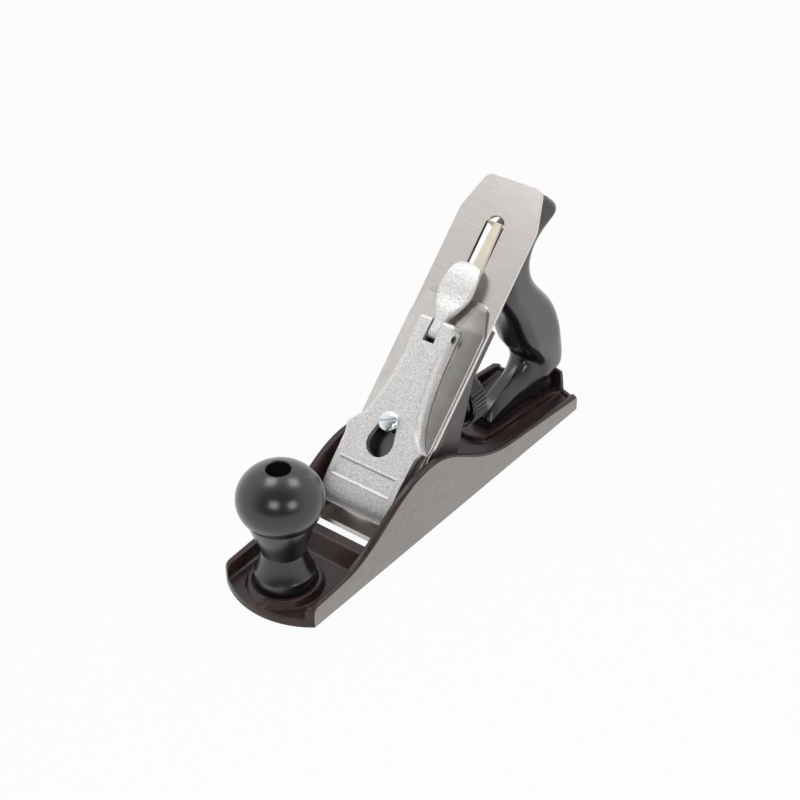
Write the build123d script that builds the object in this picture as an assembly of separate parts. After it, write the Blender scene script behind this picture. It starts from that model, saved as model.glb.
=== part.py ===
"""Hand plane: cast bed, frog, irons, lever cap, adjusters, front knob and tote."""
import os
from math import acos, atan2, cos, degrees, hypot, radians, sin, sqrt, tan

from build123d import *

# All sizes are millimetres. X runs from toe to heel, Y across the sole, Z up from the sole.
# The origin is on the sole, midway between the toe corners and the heel corners.

# Fits
run_gap = 0.05  # radial play of turning pins and sliding faces
air_gap = 0.35  # room between curved pieces that pass each other
over_cut = 1.0  # how far a cut runs past the face it opens

# Bed casting
bed_half = 119.0  # half the length between toe corners and heel corners
bed_width = 60.0
toe_bulge = 10.5
heel_bulge = 8.0
floor_t = 5.0
cheek_t = 4.0
cheek_edge_r = 1.2
toe_cheek_h = 12.7
toe_corner = 4.0
rise_x = -96.0
rise_h = 14.0
rise_ease = 30.0
hump_x = -21.0
hump_h = 43.0
hump_ease_front = 30.0
hump_ease_back = 23.0
fall_x = 52.0
fall_h = 15.2
fall_ease = 36.0
heel_cheek_h = 9.6
heel_corner = 3.6
rim_h = 6.2
rim_t = 3.0
heel_wall_h = 18.0
heel_wall_half = 17.0
bar_foot_x = -79.7
bar_front_x = -72.8
bar_back_x = -66.9
bar_h = 13.0
mouth_front_x = -64.2
mouth_back_x = -49.8
mouth_side_gap = 0.2
boss_r = 19.4
boss_h = 9.4
boss_rim = 2.8
seat_front_x = -45.5
seat_back_x = 9.0
seat_side = 4.5
seat_h = 9.0
rib_nose_x = 61.0
rib_nose_r = 11.6
rib_end_x = 117.0
rib_end_half = 16.6
rib_t = 2.4
rib_h = 8.0
tray_h = 6.4

# Front knob with its stud and nut
knob_in = 12.4  # from the toe corners back to the knob's axis
knob_z = 8.2
knob_base_r = 15.7
knob_foot_h = 7.2
knob_flare_r = 14.2
knob_flare_h = 2.8
knob_waist_r = 11.3
knob_waist_z = 27.8
knob_ease_r = 0.6
knob_ease_h = 4.2
knob_cup_r = 14.6
knob_cup_h = 8.7
knob_neck_r = 16.0
knob_ball_r = 22.4
knob_ball_rise = 19.3
knob_ball_z = 60.0
knob_well_r = 6.2
knob_nut_z = 62.0
knob_nut_h = 5.0
knob_nut_r = 5.6
stud_r = 3.0
stud_root_z = 1.6
nut_slot_w = 1.4
nut_slot_d = 1.6

# Tote with its stud and nut
tote_toe_x = 64.0
tote_toe_h = 6.2
tote_toe_half = 7.0
toe_brow_x = 71.0
toe_brow_h = 12.0
toe_brow_half = 7.8
toe_back_x = 83.0
toe_back_h = 16.8
toe_back_half = 8.4
toe_rise_x = 94.0
toe_rise_h = 21.6
toe_rise_half = 9.0
toe_root_x = 106.0
toe_root_h = 34.0
toe_root_half = 11.6
toe_shoulder_rise = 0.62
toe_shoulder_share = 0.94
toe_top_share = 0.5
tote_heel_half = 12.2
tote_corner = 9.0
grip_low_z = 19.2
grip_low_front = 101.8
grip_low_back = 132.3
grip_low_half = 13.6
grip_hollow_z = 36.0
grip_hollow_front = 101.6
grip_hollow_back = 131.2
grip_hollow_half = 14.0
grip_swell_z = 56.0
grip_swell_front = 88.9
grip_swell_back = 125.3
grip_swell_half = 13.8
grip_mid_z = 78.0
grip_mid_front = 77.0
grip_mid_back = 110.8
grip_mid_half = 13.0
grip_waist_z = 100.0
grip_waist_front = 68.8
grip_waist_back = 96.6
grip_waist_half = 12.4
grip_nape_z = 114.0
grip_nape_front = 73.0
grip_nape_back = 100.5
grip_nape_half = 12.0
grip_horn_z = 125.5
grip_horn_front = 87.5
grip_horn_back = 121.5
grip_horn_half = 11.4
grip_top_z = 134.0
grip_top_front = 99.0
grip_top_back = 117.0
grip_top_half = 7.0
grip_top_corner = 5.0
tote_lean = 20.0
tote_stud_x = 119.0
tote_stud_len = 108.0
tote_nut_r = 5.4
tote_nut_h = 6.0

# Slope that carries the irons: s runs up the front face of the iron, off stands out of it
slope = 45.0
blade_x = -60.27
iron_t = 2.4
iron_side = 1.2  # room between the iron and each cheek
iron_edge_s = 7.15
iron_top_s = 215.0
iron_corner = 3.0
iron_clip_s = 192.7
iron_clip = 7.1
iron_bevel = 27.0
iron_slot_half = 5.9
iron_slot_low_s = 33.0
iron_slot_top_s = 194.2
depth_travel = 7.5
iron_tilt = 1.0

# Cap iron and the screw that joins it to the cutting iron
cap_iron_t = 2.0
cap_iron_side = 0.6  # set in from each edge of the iron
cap_iron_edge_s = 9.3
cap_iron_lip_t = 0.4
cap_iron_hump_s = 17.5
cap_iron_hump = 1.4
cap_iron_flat_s = 26.0
cap_iron_clip_s = 130.0
cap_iron_top_s = 146.4
cap_iron_clip = 5.7
cap_iron_corner = 4.0
join_s = 44.0
join_r = 4.0
join_head_r = 8.0
join_head_t = 3.4

# Lever cap, its screw, its cam lever and its leaf spring
cap_lip_s = 17.2
cap_lip_side = 2.0
cap_lip_off = 3.75
cap_lip_t = 0.9
cap_brow_s = 36.0
cap_face_off = 11.3
cap_ear_s = 61.0
cap_ear_side = 0.6
cap_ear_run = 8.0
cap_neck_s = 66.0
cap_neck_half = 20.0
cap_waist_s = 76.0
cap_waist_half = 10.8
cap_end_s = 129.2
cap_end_half = 11.6
cap_end_round = 2.2
cap_arch_low_s = 32.0
cap_arch_off = 7.6
cap_skirt_s = 60.0
cap_skirt_off = 2.6
cap_skirt_t = 3.0
cap_roof_t = 3.4
panel_low_s = 32.0
panel_high_s = 42.0
panel_side = 4.2
panel_d = 0.7
key_s = 57.0
key_r = 8.2
key_neck_r = 5.0
cap_screw_s = 69.0
cap_screw_r = 3.5
cap_screw_head_r = 5.8
cap_screw_head_h = 3.4
cap_screw_slot_w = 1.5
cap_screw_slot_d = 1.5
cap_screw_turn = 75.0
cam_s = 122.0
cam_off = 7.0
cam_pin_r = 2.0
cam_barrel_r = 3.6
cam_slot_half = 3.6
cam_slot_s = 115.8
cam_neck_s = 128.5
cam_pad_s = 148.0
cam_pad_half = 10.6
cam_end_s = 164.0
cam_neck_off = 10.2
cam_pad_off = 8.4
cam_end_off = 5.0
cam_flare_low = 0.28
cam_flare_high = 0.54
cam_t = 2.6
spring_low_s = 96.5
spring_high_s = 127.0
spring_half = 5.0
spring_t = 0.7
spring_off = 2.45
spring_rivet_s = 101.0
spring_rivet_r = 1.6
spring_boss_r = 3.4

# Frog and the screws that hold it
frog_t = 6.5
frog_side = 2.5
frog_top_s = 136.0
frog_foot_side = 0.5
frog_foot_back_x = 8.0
frog_foot_t = 6.0
frog_rib_side = 1.0
frog_rib_t = 4.0
frog_rib_top_s = 122.0
window_low_s = 24.0
window_high_s = 58.0
window_side = 6.5
frog_screw_x = -28.0
frog_screw_side = 2.5
frog_screw_r = 3.0
frog_screw_head_r = 4.8
frog_screw_head_h = 3.6
frog_washer_r = 5.6
frog_washer_t = 1.3
frog_travel = 1.5

# Depth adjuster: wheel, bush, stud and yoke
wheel_axis_z = 39.2
wheel_r = 16.6
wheel_front_x = 35.0
wheel_back_x = 47.5
wheel_edge = 1.2
thread_r = 4.0
stud_tail_x = -2.0
stud_end_x = 52.0
stud_boss_r = 6.5
stud_boss_x = 4.0
bush_front_x = 5.4
bush_flange_r = 6.3
bush_flange_t = 3.0
bush_neck_r = 4.9
bush_barrel_r = 6.3
yoke_finger_s = 91.0
yoke_finger_off = 1.0
yoke_pivot_drop = 18.0
yoke_tip_r = 2.1
yoke_shank_half = 1.6
yoke_finger_half = 4.0
yoke_barrel_r = 3.6
yoke_barrel_half = 8.4
yoke_arm_in = 5.4
yoke_arm_half = 1.2
yoke_fork_r = 2.2
yoke_pin_r = 2.0
lug_t = 3.2
lug_wall = 4.0

# Lateral lever, its disc and its rivet
lateral_rivet_s = 122.0
lateral_rivet_r = 2.5
lateral_disc_s = 112.0
lateral_disc_r = 5.5
lateral_t = 1.6
lateral_low_r = 7.0
lateral_arm_half = 4.6
lateral_tip_half = 2.4
lateral_tip_s = 191.0
lateral_tab_half = 7.0
lateral_tab_drop = 5.5
lateral_swing = 7.5

MID = (Align.CENTER, Align.CENTER, Align.CENTER)
UP = (Align.CENTER, Align.CENTER, Align.MIN)

# Values that follow from the sizes above
half_w = bed_width / 2
inner_half = half_w - cheek_t
knob_x = knob_in - bed_half
seat_half = inner_half - seat_side
iron_half = inner_half - iron_side
iron_top_half = iron_half - iron_clip
cap_iron_half = iron_half - cap_iron_side
cap_iron_top_half = cap_iron_half - cap_iron_clip
cap_lip_half = iron_half - cap_lip_side
cap_ear_half = iron_half - cap_ear_side
panel_half = cap_lip_half - panel_side
frog_half = inner_half - frog_side
frog_foot_half = seat_half - frog_foot_side
frog_rib_out = frog_foot_half - frog_rib_side
frog_rib_in = frog_rib_out - frog_rib_t
frog_screw_y = frog_rib_in - frog_screw_side
window_half = frog_half - window_side
rad = radians(slope)
blade = Plane((blade_x, 0, 0), (cos(rad), 0, sin(rad)), (-sin(rad), 0, cos(rad))).location
frog_face_off = -iron_t - run_gap
frog_back_off = frog_face_off - frog_t
frog_base_z = seat_h + run_gap
yoke_half_swing = atan2(depth_travel / 2, yoke_pivot_drop)
pivot_s = yoke_finger_s - depth_travel / 2
pivot_off = yoke_finger_off - yoke_pivot_drop
heel_arc_r = (half_w**2 + heel_bulge**2) / (2 * heel_bulge)
heel_arc_x = bed_half + heel_bulge - heel_arc_r
tote_heel_x = heel_arc_x + sqrt((heel_arc_r - rim_t) ** 2 - tote_heel_half**2) - air_gap


def disc(radius, low, high):
    """Upright cylinder between two heights."""
    return Pos(0, 0, low) * Cylinder(radius, high - low, align=UP)


def block(x_low, x_high, half, z_low, z_high):
    """Box that is even about Y = 0."""
    middle = Pos((x_low + x_high) / 2, 0, (z_low + z_high) / 2)
    return middle * Box(x_high - x_low, 2 * half, z_high - z_low, align=MID)


def plate(outline, low, high):
    """Flat outline in X and Y raised between two heights."""
    return extrude(Pos(0, 0, low) * outline, high - low)


def wall(outline, low, high):
    """Side outline in X and Z thickened from Y = low to Y = high."""
    return extrude(Plane.XZ.offset(-high) * outline, high - low)


def polygon(*points):
    """Closed outline of straight edges."""
    return make_face(Polyline(*points, close=True))


def link(start, end, half, low, high):
    """Round-ended bar in the XZ plane between two points."""
    run_x = end[0] - start[0]
    run_z = end[1] - start[1]
    middle = Pos((start[0] + end[0]) / 2, (start[1] + end[1]) / 2)
    turn = Rot(0, 0, degrees(atan2(run_z, run_x)))
    return wall(middle * turn * SlotCenterToCenter(hypot(run_x, run_z), 2 * half), low, high)


def slot(x_low, x_high, half, z_low, z_high):
    """Round-ended slot along X, given by the centres of its two ends."""
    ends = SlotCenterToCenter(x_high - x_low, 2 * half)
    return plate(Pos((x_low + x_high) / 2, 0) * ends, z_low, z_high)


def on_slope(s, off):
    """X and Z of a point given along the slope and out of it."""
    return (blade_x + s * cos(rad) - off * sin(rad), s * sin(rad) + off * cos(rad))


def mirrored(shape):
    """The shape together with its mirror image across Y = 0."""
    return shape + mirror(shape, Plane.XZ)


def save(shape, name):
    """Write one piece to its own file."""
    export_step(shape, f"parts/{name}.step")


os.makedirs("parts", exist_ok=True)

# Bed: floor with bowed toe and heel
toe_arc = ThreePointArc((-bed_half, -half_w), (-bed_half - toe_bulge, 0), (-bed_half, half_w))
heel_arc = ThreePointArc((bed_half, half_w), (bed_half + heel_bulge, 0), (bed_half, -half_w))
sole = make_face([toe_arc, Line(toe_arc @ 1, heel_arc @ 0), heel_arc, Line(heel_arc @ 1, toe_arc @ 0)])
bed = plate(sole, 0, floor_t)

# Bed: cheeks that swell up beside the frog
toe_slope = (rise_h - toe_cheek_h) / (rise_x + bed_half - toe_corner)
heel_slope = (heel_cheek_h - fall_h) / (bed_half - heel_corner - fall_x)
toe_top = (-bed_half + toe_corner, toe_cheek_h)
heel_top = (bed_half - heel_corner, heel_cheek_h)
rise_lead = (rise_x + rise_ease, rise_h + rise_ease * toe_slope)
fall_lead = (fall_x - fall_ease, fall_h - fall_ease * heel_slope)
cheek_line = [
    Line((-bed_half, 0), (-bed_half, toe_cheek_h - toe_corner)),
    Bezier((-bed_half, toe_cheek_h - toe_corner), (-bed_half, toe_cheek_h), toe_top),
    Line(toe_top, (rise_x, rise_h)),
    Bezier((rise_x, rise_h), rise_lead, (hump_x - hump_ease_front, hump_h), (hump_x, hump_h)),
    Bezier((hump_x, hump_h), (hump_x + hump_ease_back, hump_h), fall_lead, (fall_x, fall_h)),
    Line((fall_x, fall_h), heel_top),
    Bezier(heel_top, (bed_half, heel_cheek_h), (bed_half, heel_cheek_h - heel_corner)),
    Line((bed_half, heel_cheek_h - heel_corner), (bed_half, 0)),
    Line((bed_half, 0), (-bed_half, 0)),
]
cheek = wall(make_face(cheek_line), inner_half, half_w)
long_edges = cheek.edges().filter_by(lambda e: abs((e @ 0).Y - (e @ 1).Y) < run_gap)
cheek = fillet(long_edges.filter_by(lambda e: e.center().Z > floor_t), cheek_edge_r)
bed += mirrored(cheek)

# Bed: low rim along the heel and the taller wall behind the tote
heel_inside = offset(sole, -rim_t)
heel_zone = Pos(bed_half, 0) * Rectangle(4 * heel_bulge, bed_width)
heel_rim = (sole - heel_inside) & heel_zone
wall_zone = Pos(bed_half + heel_bulge, 0) * Rectangle(3 * heel_bulge, 2 * heel_wall_half)
bed += plate(heel_rim, floor_t, rim_h)
bed += plate(heel_rim & wall_zone, floor_t, heel_wall_h)

# Bed: cross bar ahead of the mouth
bar_lean = (mouth_front_x - bar_back_x) / bar_h
bar_root_x = mouth_front_x - bar_lean * floor_t
bar = polygon((bar_foot_x, floor_t), (bar_front_x, bar_h), (bar_back_x, bar_h), (bar_root_x, floor_t))
bed += wall(bar, -inner_half, inner_half)

# Bed: mouth with a sloped back that runs up to the foot of the frog seat
mouth_half = inner_half - mouth_side_gap
ramp = (seat_front_x - mouth_back_x) / floor_t
mouth = polygon(
    (mouth_front_x + bar_lean * over_cut, -over_cut),
    (mouth_front_x - bar_lean * (floor_t + over_cut), floor_t + over_cut),
    (mouth_back_x + ramp * (floor_t + over_cut), floor_t + over_cut),
    (mouth_back_x - ramp * over_cut, -over_cut),
)
bed -= wall(mouth, -mouth_half, mouth_half)

# Bed: frog seat, knob boss and tote tray with its rib
bed += block(seat_front_x, seat_back_x, seat_half, floor_t, seat_h)
boss = disc(boss_r, floor_t, boss_h) - disc(boss_r - boss_rim, knob_z, boss_h)
bed += Pos(knob_x, 0, 0) * boss
rib_side = [(rib_nose_x, rib_nose_r), (rib_end_x, rib_end_half)]
rib_out = polygon(*rib_side, (rib_end_x, -rib_end_half), (rib_nose_x, -rib_nose_r))
rib_out += Pos(rib_nose_x, 0) * Circle(rib_nose_r)
tray_r = rib_nose_r - rib_t
tray_end = rib_end_half - rib_t
tray_x = rib_end_x + over_cut
tray = polygon((rib_nose_x, tray_r), (tray_x, tray_end), (tray_x, -tray_end), (rib_nose_x, -tray_r))
tray += Pos(rib_nose_x, 0) * Circle(tray_r)
bed += plate(rib_out - tray, floor_t, rib_h)
bed += plate(rib_out + (tray & sole), floor_t, tray_h)

# Bed: holes for the studs and for the frog screws
tote_line = Pos(tote_stud_x, 0, stud_root_z) * Rot(0, -tote_lean, 0)
bed -= Pos(knob_x, 0, 0) * disc(stud_r + run_gap, stud_root_z, boss_h)
bed -= tote_line * disc(stud_r + run_gap, 0, tote_stud_len)
frog_screw_spots = [Pos(frog_screw_x, side * frog_screw_y, 0) for side in (-1, 1)]
for spot in frog_screw_spots:
    bed -= spot * disc(frog_screw_r + run_gap, stud_root_z, seat_h + over_cut)
save(bed, "bed")

# Front knob: ball on a waisted base, bored for its stud
ball_low = -acos(knob_neck_r / knob_ball_r)
ball_high = acos(knob_well_r / knob_ball_r)
ball_join_z = knob_ball_z + knob_ball_rise * sin(ball_low)
well_z = knob_ball_z + knob_ball_rise * sin(ball_high)
foot_z = knob_z + knob_foot_h
bore_r = stud_r + air_gap
knob_line = [
    Line((bore_r, knob_z), (knob_base_r, knob_z)),
    Line((knob_base_r, knob_z), (knob_base_r, foot_z)),
    Bezier(
        (knob_base_r, foot_z),
        (knob_flare_r, foot_z + knob_flare_h),
        (knob_waist_r + knob_ease_r, knob_waist_z - knob_ease_h),
        (knob_waist_r, knob_waist_z),
    ),
    Bezier(
        (knob_waist_r, knob_waist_z),
        (knob_waist_r + knob_ease_r, knob_waist_z + knob_ease_h),
        (knob_cup_r, knob_waist_z + knob_cup_h),
        (knob_neck_r, ball_join_z),
    ),
    EllipticalCenterArc(
        (0, knob_ball_z),
        knob_ball_r,
        knob_ball_rise,
        start_angle=degrees(ball_low),
        arc_size=degrees(ball_high - ball_low),
    ),
    Line((knob_well_r, well_z), (knob_well_r, knob_nut_z)),
    Line((knob_well_r, knob_nut_z), (bore_r, knob_nut_z)),
    Line((bore_r, knob_nut_z), (bore_r, knob_z)),
]
knob = revolve(Plane.XZ * make_face(knob_line), Axis.Z)
save(Pos(knob_x, 0, 0) * knob, "front_knob")

# Knob stud, screwed into the boss, and the slotted nut in the well of the ball
knob_nut_top = knob_nut_z + knob_nut_h
stud_top = knob_nut_top - nut_slot_d
save(Pos(knob_x, 0, 0) * disc(stud_r, stud_root_z, stud_top), "knob_stud")
driver = block(-knob_nut_r, knob_nut_r, nut_slot_w / 2, stud_top, knob_nut_top + over_cut)
knob_nut = disc(knob_nut_r, knob_nut_z, knob_nut_top) - disc(stud_r + run_gap, knob_nut_z, stud_top)
save(Pos(knob_x, 0, 0) * (knob_nut - driver), "knob_nut")

# Tote: grip lofted through rounded sections, from the swell up to the horn


def grip_section(height, front, back, half, corner):
    """Rounded level section of the grip."""
    shape = RectangleRounded(back - front, 2 * half, corner)
    return Pos((front + back) / 2, 0, height) * shape


grip = loft(
    [
        grip_section(grip_low_z, grip_low_front, grip_low_back, grip_low_half, tote_corner),
        grip_section(grip_hollow_z, grip_hollow_front, grip_hollow_back, grip_hollow_half, tote_corner),
        grip_section(grip_swell_z, grip_swell_front, grip_swell_back, grip_swell_half, tote_corner),
        grip_section(grip_mid_z, grip_mid_front, grip_mid_back, grip_mid_half, tote_corner),
        grip_section(grip_waist_z, grip_waist_front, grip_waist_back, grip_waist_half, tote_corner),
        grip_section(grip_nape_z, grip_nape_front, grip_nape_back, grip_nape_half, tote_corner),
        grip_section(grip_horn_z, grip_horn_front, grip_horn_back, grip_horn_half, tote_corner),
        grip_section(grip_top_z, grip_top_front, grip_top_back, grip_top_half, grip_top_corner),
    ]
)

# Tote: arched toe that sweeps down to the front, and the foot under the grip, standing in the tray


def toe_section(x, half, height):
    """Upright section of the toe: flat top, leaning shoulders and nearly upright sides."""
    shoulder_h = toe_shoulder_rise * height
    shoulder = toe_shoulder_share * half
    top = toe_top_share * half
    right = [(0, half), (shoulder_h, shoulder), (height, top)]
    left = [(height, -top), (shoulder_h, -shoulder), (0, -half)]
    return Plane(origin=(x, 0, tray_h), x_dir=(0, 0, 1), z_dir=(1, 0, 0)) * polygon(*right, *left)


toe = loft(
    [
        toe_section(tote_toe_x, tote_toe_half, tote_toe_h),
        toe_section(toe_brow_x, toe_brow_half, toe_brow_h),
        toe_section(toe_back_x, toe_back_half, toe_back_h),
        toe_section(toe_rise_x, toe_rise_half, toe_rise_h),
        toe_section(toe_root_x, toe_root_half, toe_root_h),
    ]
)
foot_plan = polygon(
    (toe_rise_x, toe_rise_half),
    (tote_heel_x, tote_heel_half),
    (tote_heel_x, -tote_heel_half),
    (toe_rise_x, -toe_rise_half),
)
toe += plate(foot_plan, tray_h, grip_low_z)
tote = grip + toe
tote -= tote_line * disc(stud_r + air_gap, 0, 2 * tote_stud_len)
tote -= tote_line * disc(tote_nut_r + air_gap, tote_stud_len - tote_nut_h, 2 * tote_stud_len)
save(tote, "tote")

# Tote stud, leaning forward, and its slotted nut in the well at the top
tote_stud_top = tote_stud_len - nut_slot_d
save(tote_line * disc(stud_r, 0, tote_stud_top), "tote_stud")
driver = block(-tote_nut_r, tote_nut_r, nut_slot_w / 2, tote_stud_top, tote_stud_len + over_cut)
tote_nut = disc(tote_nut_r, tote_stud_len - tote_nut_h, tote_stud_len)
tote_nut -= disc(stud_r + run_gap, 0, tote_stud_top)
save(tote_line * (tote_nut - driver), "tote_nut")

# Frog: sloped plate, foot, side ribs, lugs for the yoke pin and boss for the depth stud
frog = blade * block(0, frog_top_s, frog_half, frog_back_off, frog_face_off)
foot_top = frog_base_z + frog_foot_t
rib_top = on_slope(frog_rib_top_s, frog_back_off)
foot_front = on_slope(window_low_s, frog_back_off)
frog += block(seat_front_x, frog_foot_back_x, frog_foot_half, frog_base_z, foot_top)
rib = polygon((seat_front_x, frog_base_z), foot_front, rib_top, (frog_foot_back_x, frog_base_z))
frog += mirrored(wall(rib, frog_rib_in, frog_rib_out))
pivot = on_slope(pivot_s, pivot_off)
lug_in = yoke_barrel_half + air_gap
lug_r = yoke_pin_r + lug_wall
lug_root = on_slope(pivot_s, frog_face_off - lug_r)
frog += mirrored(link(pivot, lug_root, lug_r, lug_in, lug_in + lug_t))
along_x = Pos(0, 0, wheel_axis_z) * Rot(0, 90, 0)
stud_root_x = blade_x + wheel_axis_z / tan(rad) - frog_face_off / sin(rad) + stud_boss_r
frog += along_x * disc(stud_boss_r, stud_root_x, stud_boss_x)

frog -= blade * block(-hump_h, 2 * bed_half, half_w, frog_face_off, 2 * hump_h)

# Frog: openings for the irons' screws, the yoke finger and the lateral lever
through = frog_back_off - over_cut
frog -= blade * block(window_low_s, window_high_s, window_half, through - stud_boss_r, 0)
finger_room = yoke_shank_half + yoke_tip_r + depth_travel / 2
frog -= blade * block(pivot_s - finger_room, pivot_s + finger_room, yoke_finger_half + over_cut, through, 0)
groove_off = frog_face_off - lateral_t - air_gap
swing_room = 1 + tan(radians(lateral_swing))
groove_half = (lateral_low_r + air_gap) * swing_room
groove_low_s = lateral_disc_s - groove_half
groove_top_half = lateral_arm_half + (frog_top_s - lateral_rivet_s) * tan(radians(lateral_swing)) + over_cut
groove = polygon(
    (groove_low_s, groove_half),
    (lateral_rivet_s, groove_half),
    (frog_top_s + over_cut, groove_top_half),
    (frog_top_s + over_cut, -groove_top_half),
    (lateral_rivet_s, -groove_half),
    (groove_low_s, -groove_half),
)
frog -= blade * plate(groove, groove_off, 0)
for spot in frog_screw_spots:
    frog -= spot * slot(-frog_travel - air_gap, frog_travel + air_gap, frog_screw_r + air_gap, 0, foot_top)
    access = frog_washer_r + over_cut
    frog -= spot * slot(-frog_travel - air_gap, frog_travel + air_gap, access, foot_top, 2 * hump_h)
frog -= blade * (Pos(cap_screw_s, 0, 0) * disc(cap_screw_r + run_gap, through, 0))
frog -= blade * (Pos(lateral_rivet_s, 0, 0) * disc(lateral_rivet_r + run_gap, through, 0))
frog -= along_x * disc(thread_r + run_gap, stud_tail_x, stud_boss_x + over_cut)
pin_line = Pos(pivot[0], 0, pivot[1]) * Rot(90, 0, 0)
pin_half = lug_in + lug_t
frog -= pin_line * disc(yoke_pin_r + run_gap, -pin_half - over_cut, pin_half + over_cut)
frog &= block(-bed_half, bed_half, frog_half, frog_base_z, bed_half)
save(frog, "frog")

# Frog screws and washers, two of each, fixed in the bed
washer_low = foot_top + run_gap
washer_top = washer_low + frog_washer_t
head_top = washer_top + frog_screw_head_h
screw = disc(frog_screw_r, stud_root_z, washer_top) + disc(frog_screw_head_r, washer_top, head_top)
screw -= block(-frog_washer_r, frog_washer_r, nut_slot_w / 2, head_top - nut_slot_d, head_top + over_cut)
washer = disc(frog_washer_r, washer_low, washer_top) - disc(frog_screw_r + run_gap, washer_low, washer_top)
save(Compound([spot * screw for spot in frog_screw_spots]), "frog_screws")
save(Compound([spot * washer for spot in frog_screw_spots]), "frog_washers")

# Cutting iron: slotted plate, clipped at the top, bevelled at its back
bevel_run = iron_t / tan(radians(iron_bevel))
iron_side = polygon(
    (iron_edge_s, 0), (iron_top_s, 0), (iron_top_s, -iron_t), (iron_edge_s + bevel_run, -iron_t)
)
iron_plan = polygon(
    (iron_edge_s, iron_half),
    (iron_clip_s, iron_half),
    (iron_top_s, iron_top_half),
    (iron_top_s, -iron_top_half),
    (iron_clip_s, -iron_half),
    (iron_edge_s, -iron_half),
)
iron_plan = fillet(iron_plan.vertices().sort_by(Axis.X)[-2:], iron_corner)
iron = wall(iron_side, -iron_half, iron_half) & plate(iron_plan, -iron_t, 0)
slot_low = iron_slot_low_s + iron_slot_half
slot_high = iron_slot_top_s - iron_slot_half
iron -= slot(slot_low, slot_high, iron_slot_half, -iron_t - over_cut, over_cut)
save(blade * iron, "cutting_iron")

# Cap iron: flat plate with an arched front that presses on the iron near its edge
crest = cap_iron_hump + cap_iron_t
cap_iron_line = [
    ThreePointArc((cap_iron_flat_s, 0), (cap_iron_hump_s, cap_iron_hump), (cap_iron_edge_s, 0)),
    Line((cap_iron_edge_s, 0), (cap_iron_edge_s, cap_iron_lip_t)),
    ThreePointArc((cap_iron_edge_s, cap_iron_lip_t), (cap_iron_hump_s, crest), (cap_iron_flat_s, cap_iron_t)),
    Line((cap_iron_flat_s, cap_iron_t), (cap_iron_top_s, cap_iron_t)),
    Line((cap_iron_top_s, cap_iron_t), (cap_iron_top_s, 0)),
    Line((cap_iron_top_s, 0), (cap_iron_flat_s, 0)),
]
cap_iron_plan = polygon(
    (cap_iron_edge_s, cap_iron_half),
    (cap_iron_clip_s, cap_iron_half),
    (cap_iron_top_s, cap_iron_top_half),
    (cap_iron_top_s, -cap_iron_top_half),
    (cap_iron_clip_s, -cap_iron_half),
    (cap_iron_edge_s, -cap_iron_half),
)
top_corners = cap_iron_plan.vertices().sort_by(Axis.X)[-2:]
cap_iron_plan = fillet(top_corners, cap_iron_corner)
cap_iron = wall(make_face(cap_iron_line), -cap_iron_half, cap_iron_half) & plate(cap_iron_plan, -over_cut, 2 * crest)
screw_room = cap_screw_r + over_cut
cap_iron -= slot(cap_screw_s, cap_screw_s + depth_travel, screw_room, -over_cut, 2 * crest)
finger_run = yoke_tip_r + air_gap
finger_side = yoke_finger_half + (yoke_finger_s - join_s) * tan(radians(iron_tilt)) + air_gap
finger_hole = block(yoke_finger_s - finger_run, yoke_finger_s + finger_run, finger_side, -over_cut, 2 * crest)
cap_iron -= finger_hole
cap_iron -= Pos(join_s, 0, 0) * disc(join_r + run_gap, -over_cut, 2 * crest)
save(blade * cap_iron, "cap_iron")

# Cap iron screw: flat head behind the iron, stem up into the cap iron
join_low = frog_face_off - join_head_t
join = disc(join_head_r, join_low, frog_face_off) + disc(join_r, frog_face_off, cap_iron_t)
join -= block(-join_head_r, join_head_r, nut_slot_w / 2, join_low - over_cut, join_low + nut_slot_d)
save(blade * (Pos(join_s, 0, 0) * join), "cap_iron_screw")

# Lever cap screw: stem in the frog, slotted head above the lever cap
head_low = cap_face_off + run_gap
head_high = head_low + cap_screw_head_h
cap_screw = disc(cap_screw_r, frog_back_off, head_low) + disc(cap_screw_head_r, head_low, head_high)
slot_floor = head_high - cap_screw_slot_d
driver = block(-cap_screw_head_r, cap_screw_head_r, cap_screw_slot_w / 2, slot_floor, head_high + over_cut)
cap_screw -= Rot(0, 0, cap_screw_turn) * driver
save(blade * (Pos(cap_screw_s, 0, 0) * cap_screw), "lever_cap_screw")

# Lever cap: eared casting, arched below its ears, with a skirt down each side above them
ear_root = cap_ear_s - cap_ear_run
cap_side = [
    Line((cap_lip_s, cap_lip_off), (cap_lip_s, cap_lip_off + cap_lip_t)),
    Bezier(
        (cap_lip_s, cap_lip_off + cap_lip_t),
        (cap_lip_s + cap_lip_off, cap_face_off - cap_lip_t),
        (cap_arch_low_s - cap_lip_off, cap_face_off),
        (cap_brow_s, cap_face_off),
    ),
    Line((cap_brow_s, cap_face_off), (cap_end_s - cap_end_round, cap_face_off)),
    Bezier(
        (cap_end_s - cap_end_round, cap_face_off),
        (cap_end_s, cap_face_off),
        (cap_end_s, cap_face_off - cap_end_round),
    ),
    Line((cap_end_s, cap_face_off - cap_end_round), (cap_end_s, cap_skirt_off)),
    Line((cap_end_s, cap_skirt_off), (cap_skirt_s, cap_skirt_off)),
    Line((cap_skirt_s, cap_skirt_off), (cap_skirt_s, cap_arch_off)),
    Bezier(
        (cap_skirt_s, cap_arch_off),
        (cap_brow_s + cap_ear_run, cap_arch_off),
        (cap_brow_s + cap_ear_run, cap_lip_off),
        (cap_arch_low_s, cap_lip_off),
    ),
    Line((cap_arch_low_s, cap_lip_off), (cap_lip_s, cap_lip_off)),
]


def cap_neck(side, inset):
    """Neck of the lever cap from its ear to its end on one side, set in by a distance."""
    return Bezier(
        (cap_ear_s, side * (cap_ear_half - inset)),
        (cap_neck_s, side * (cap_neck_half - inset)),
        (cap_waist_s, side * (cap_waist_half - inset)),
        (cap_end_s, side * (cap_end_half - inset)),
    )


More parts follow.
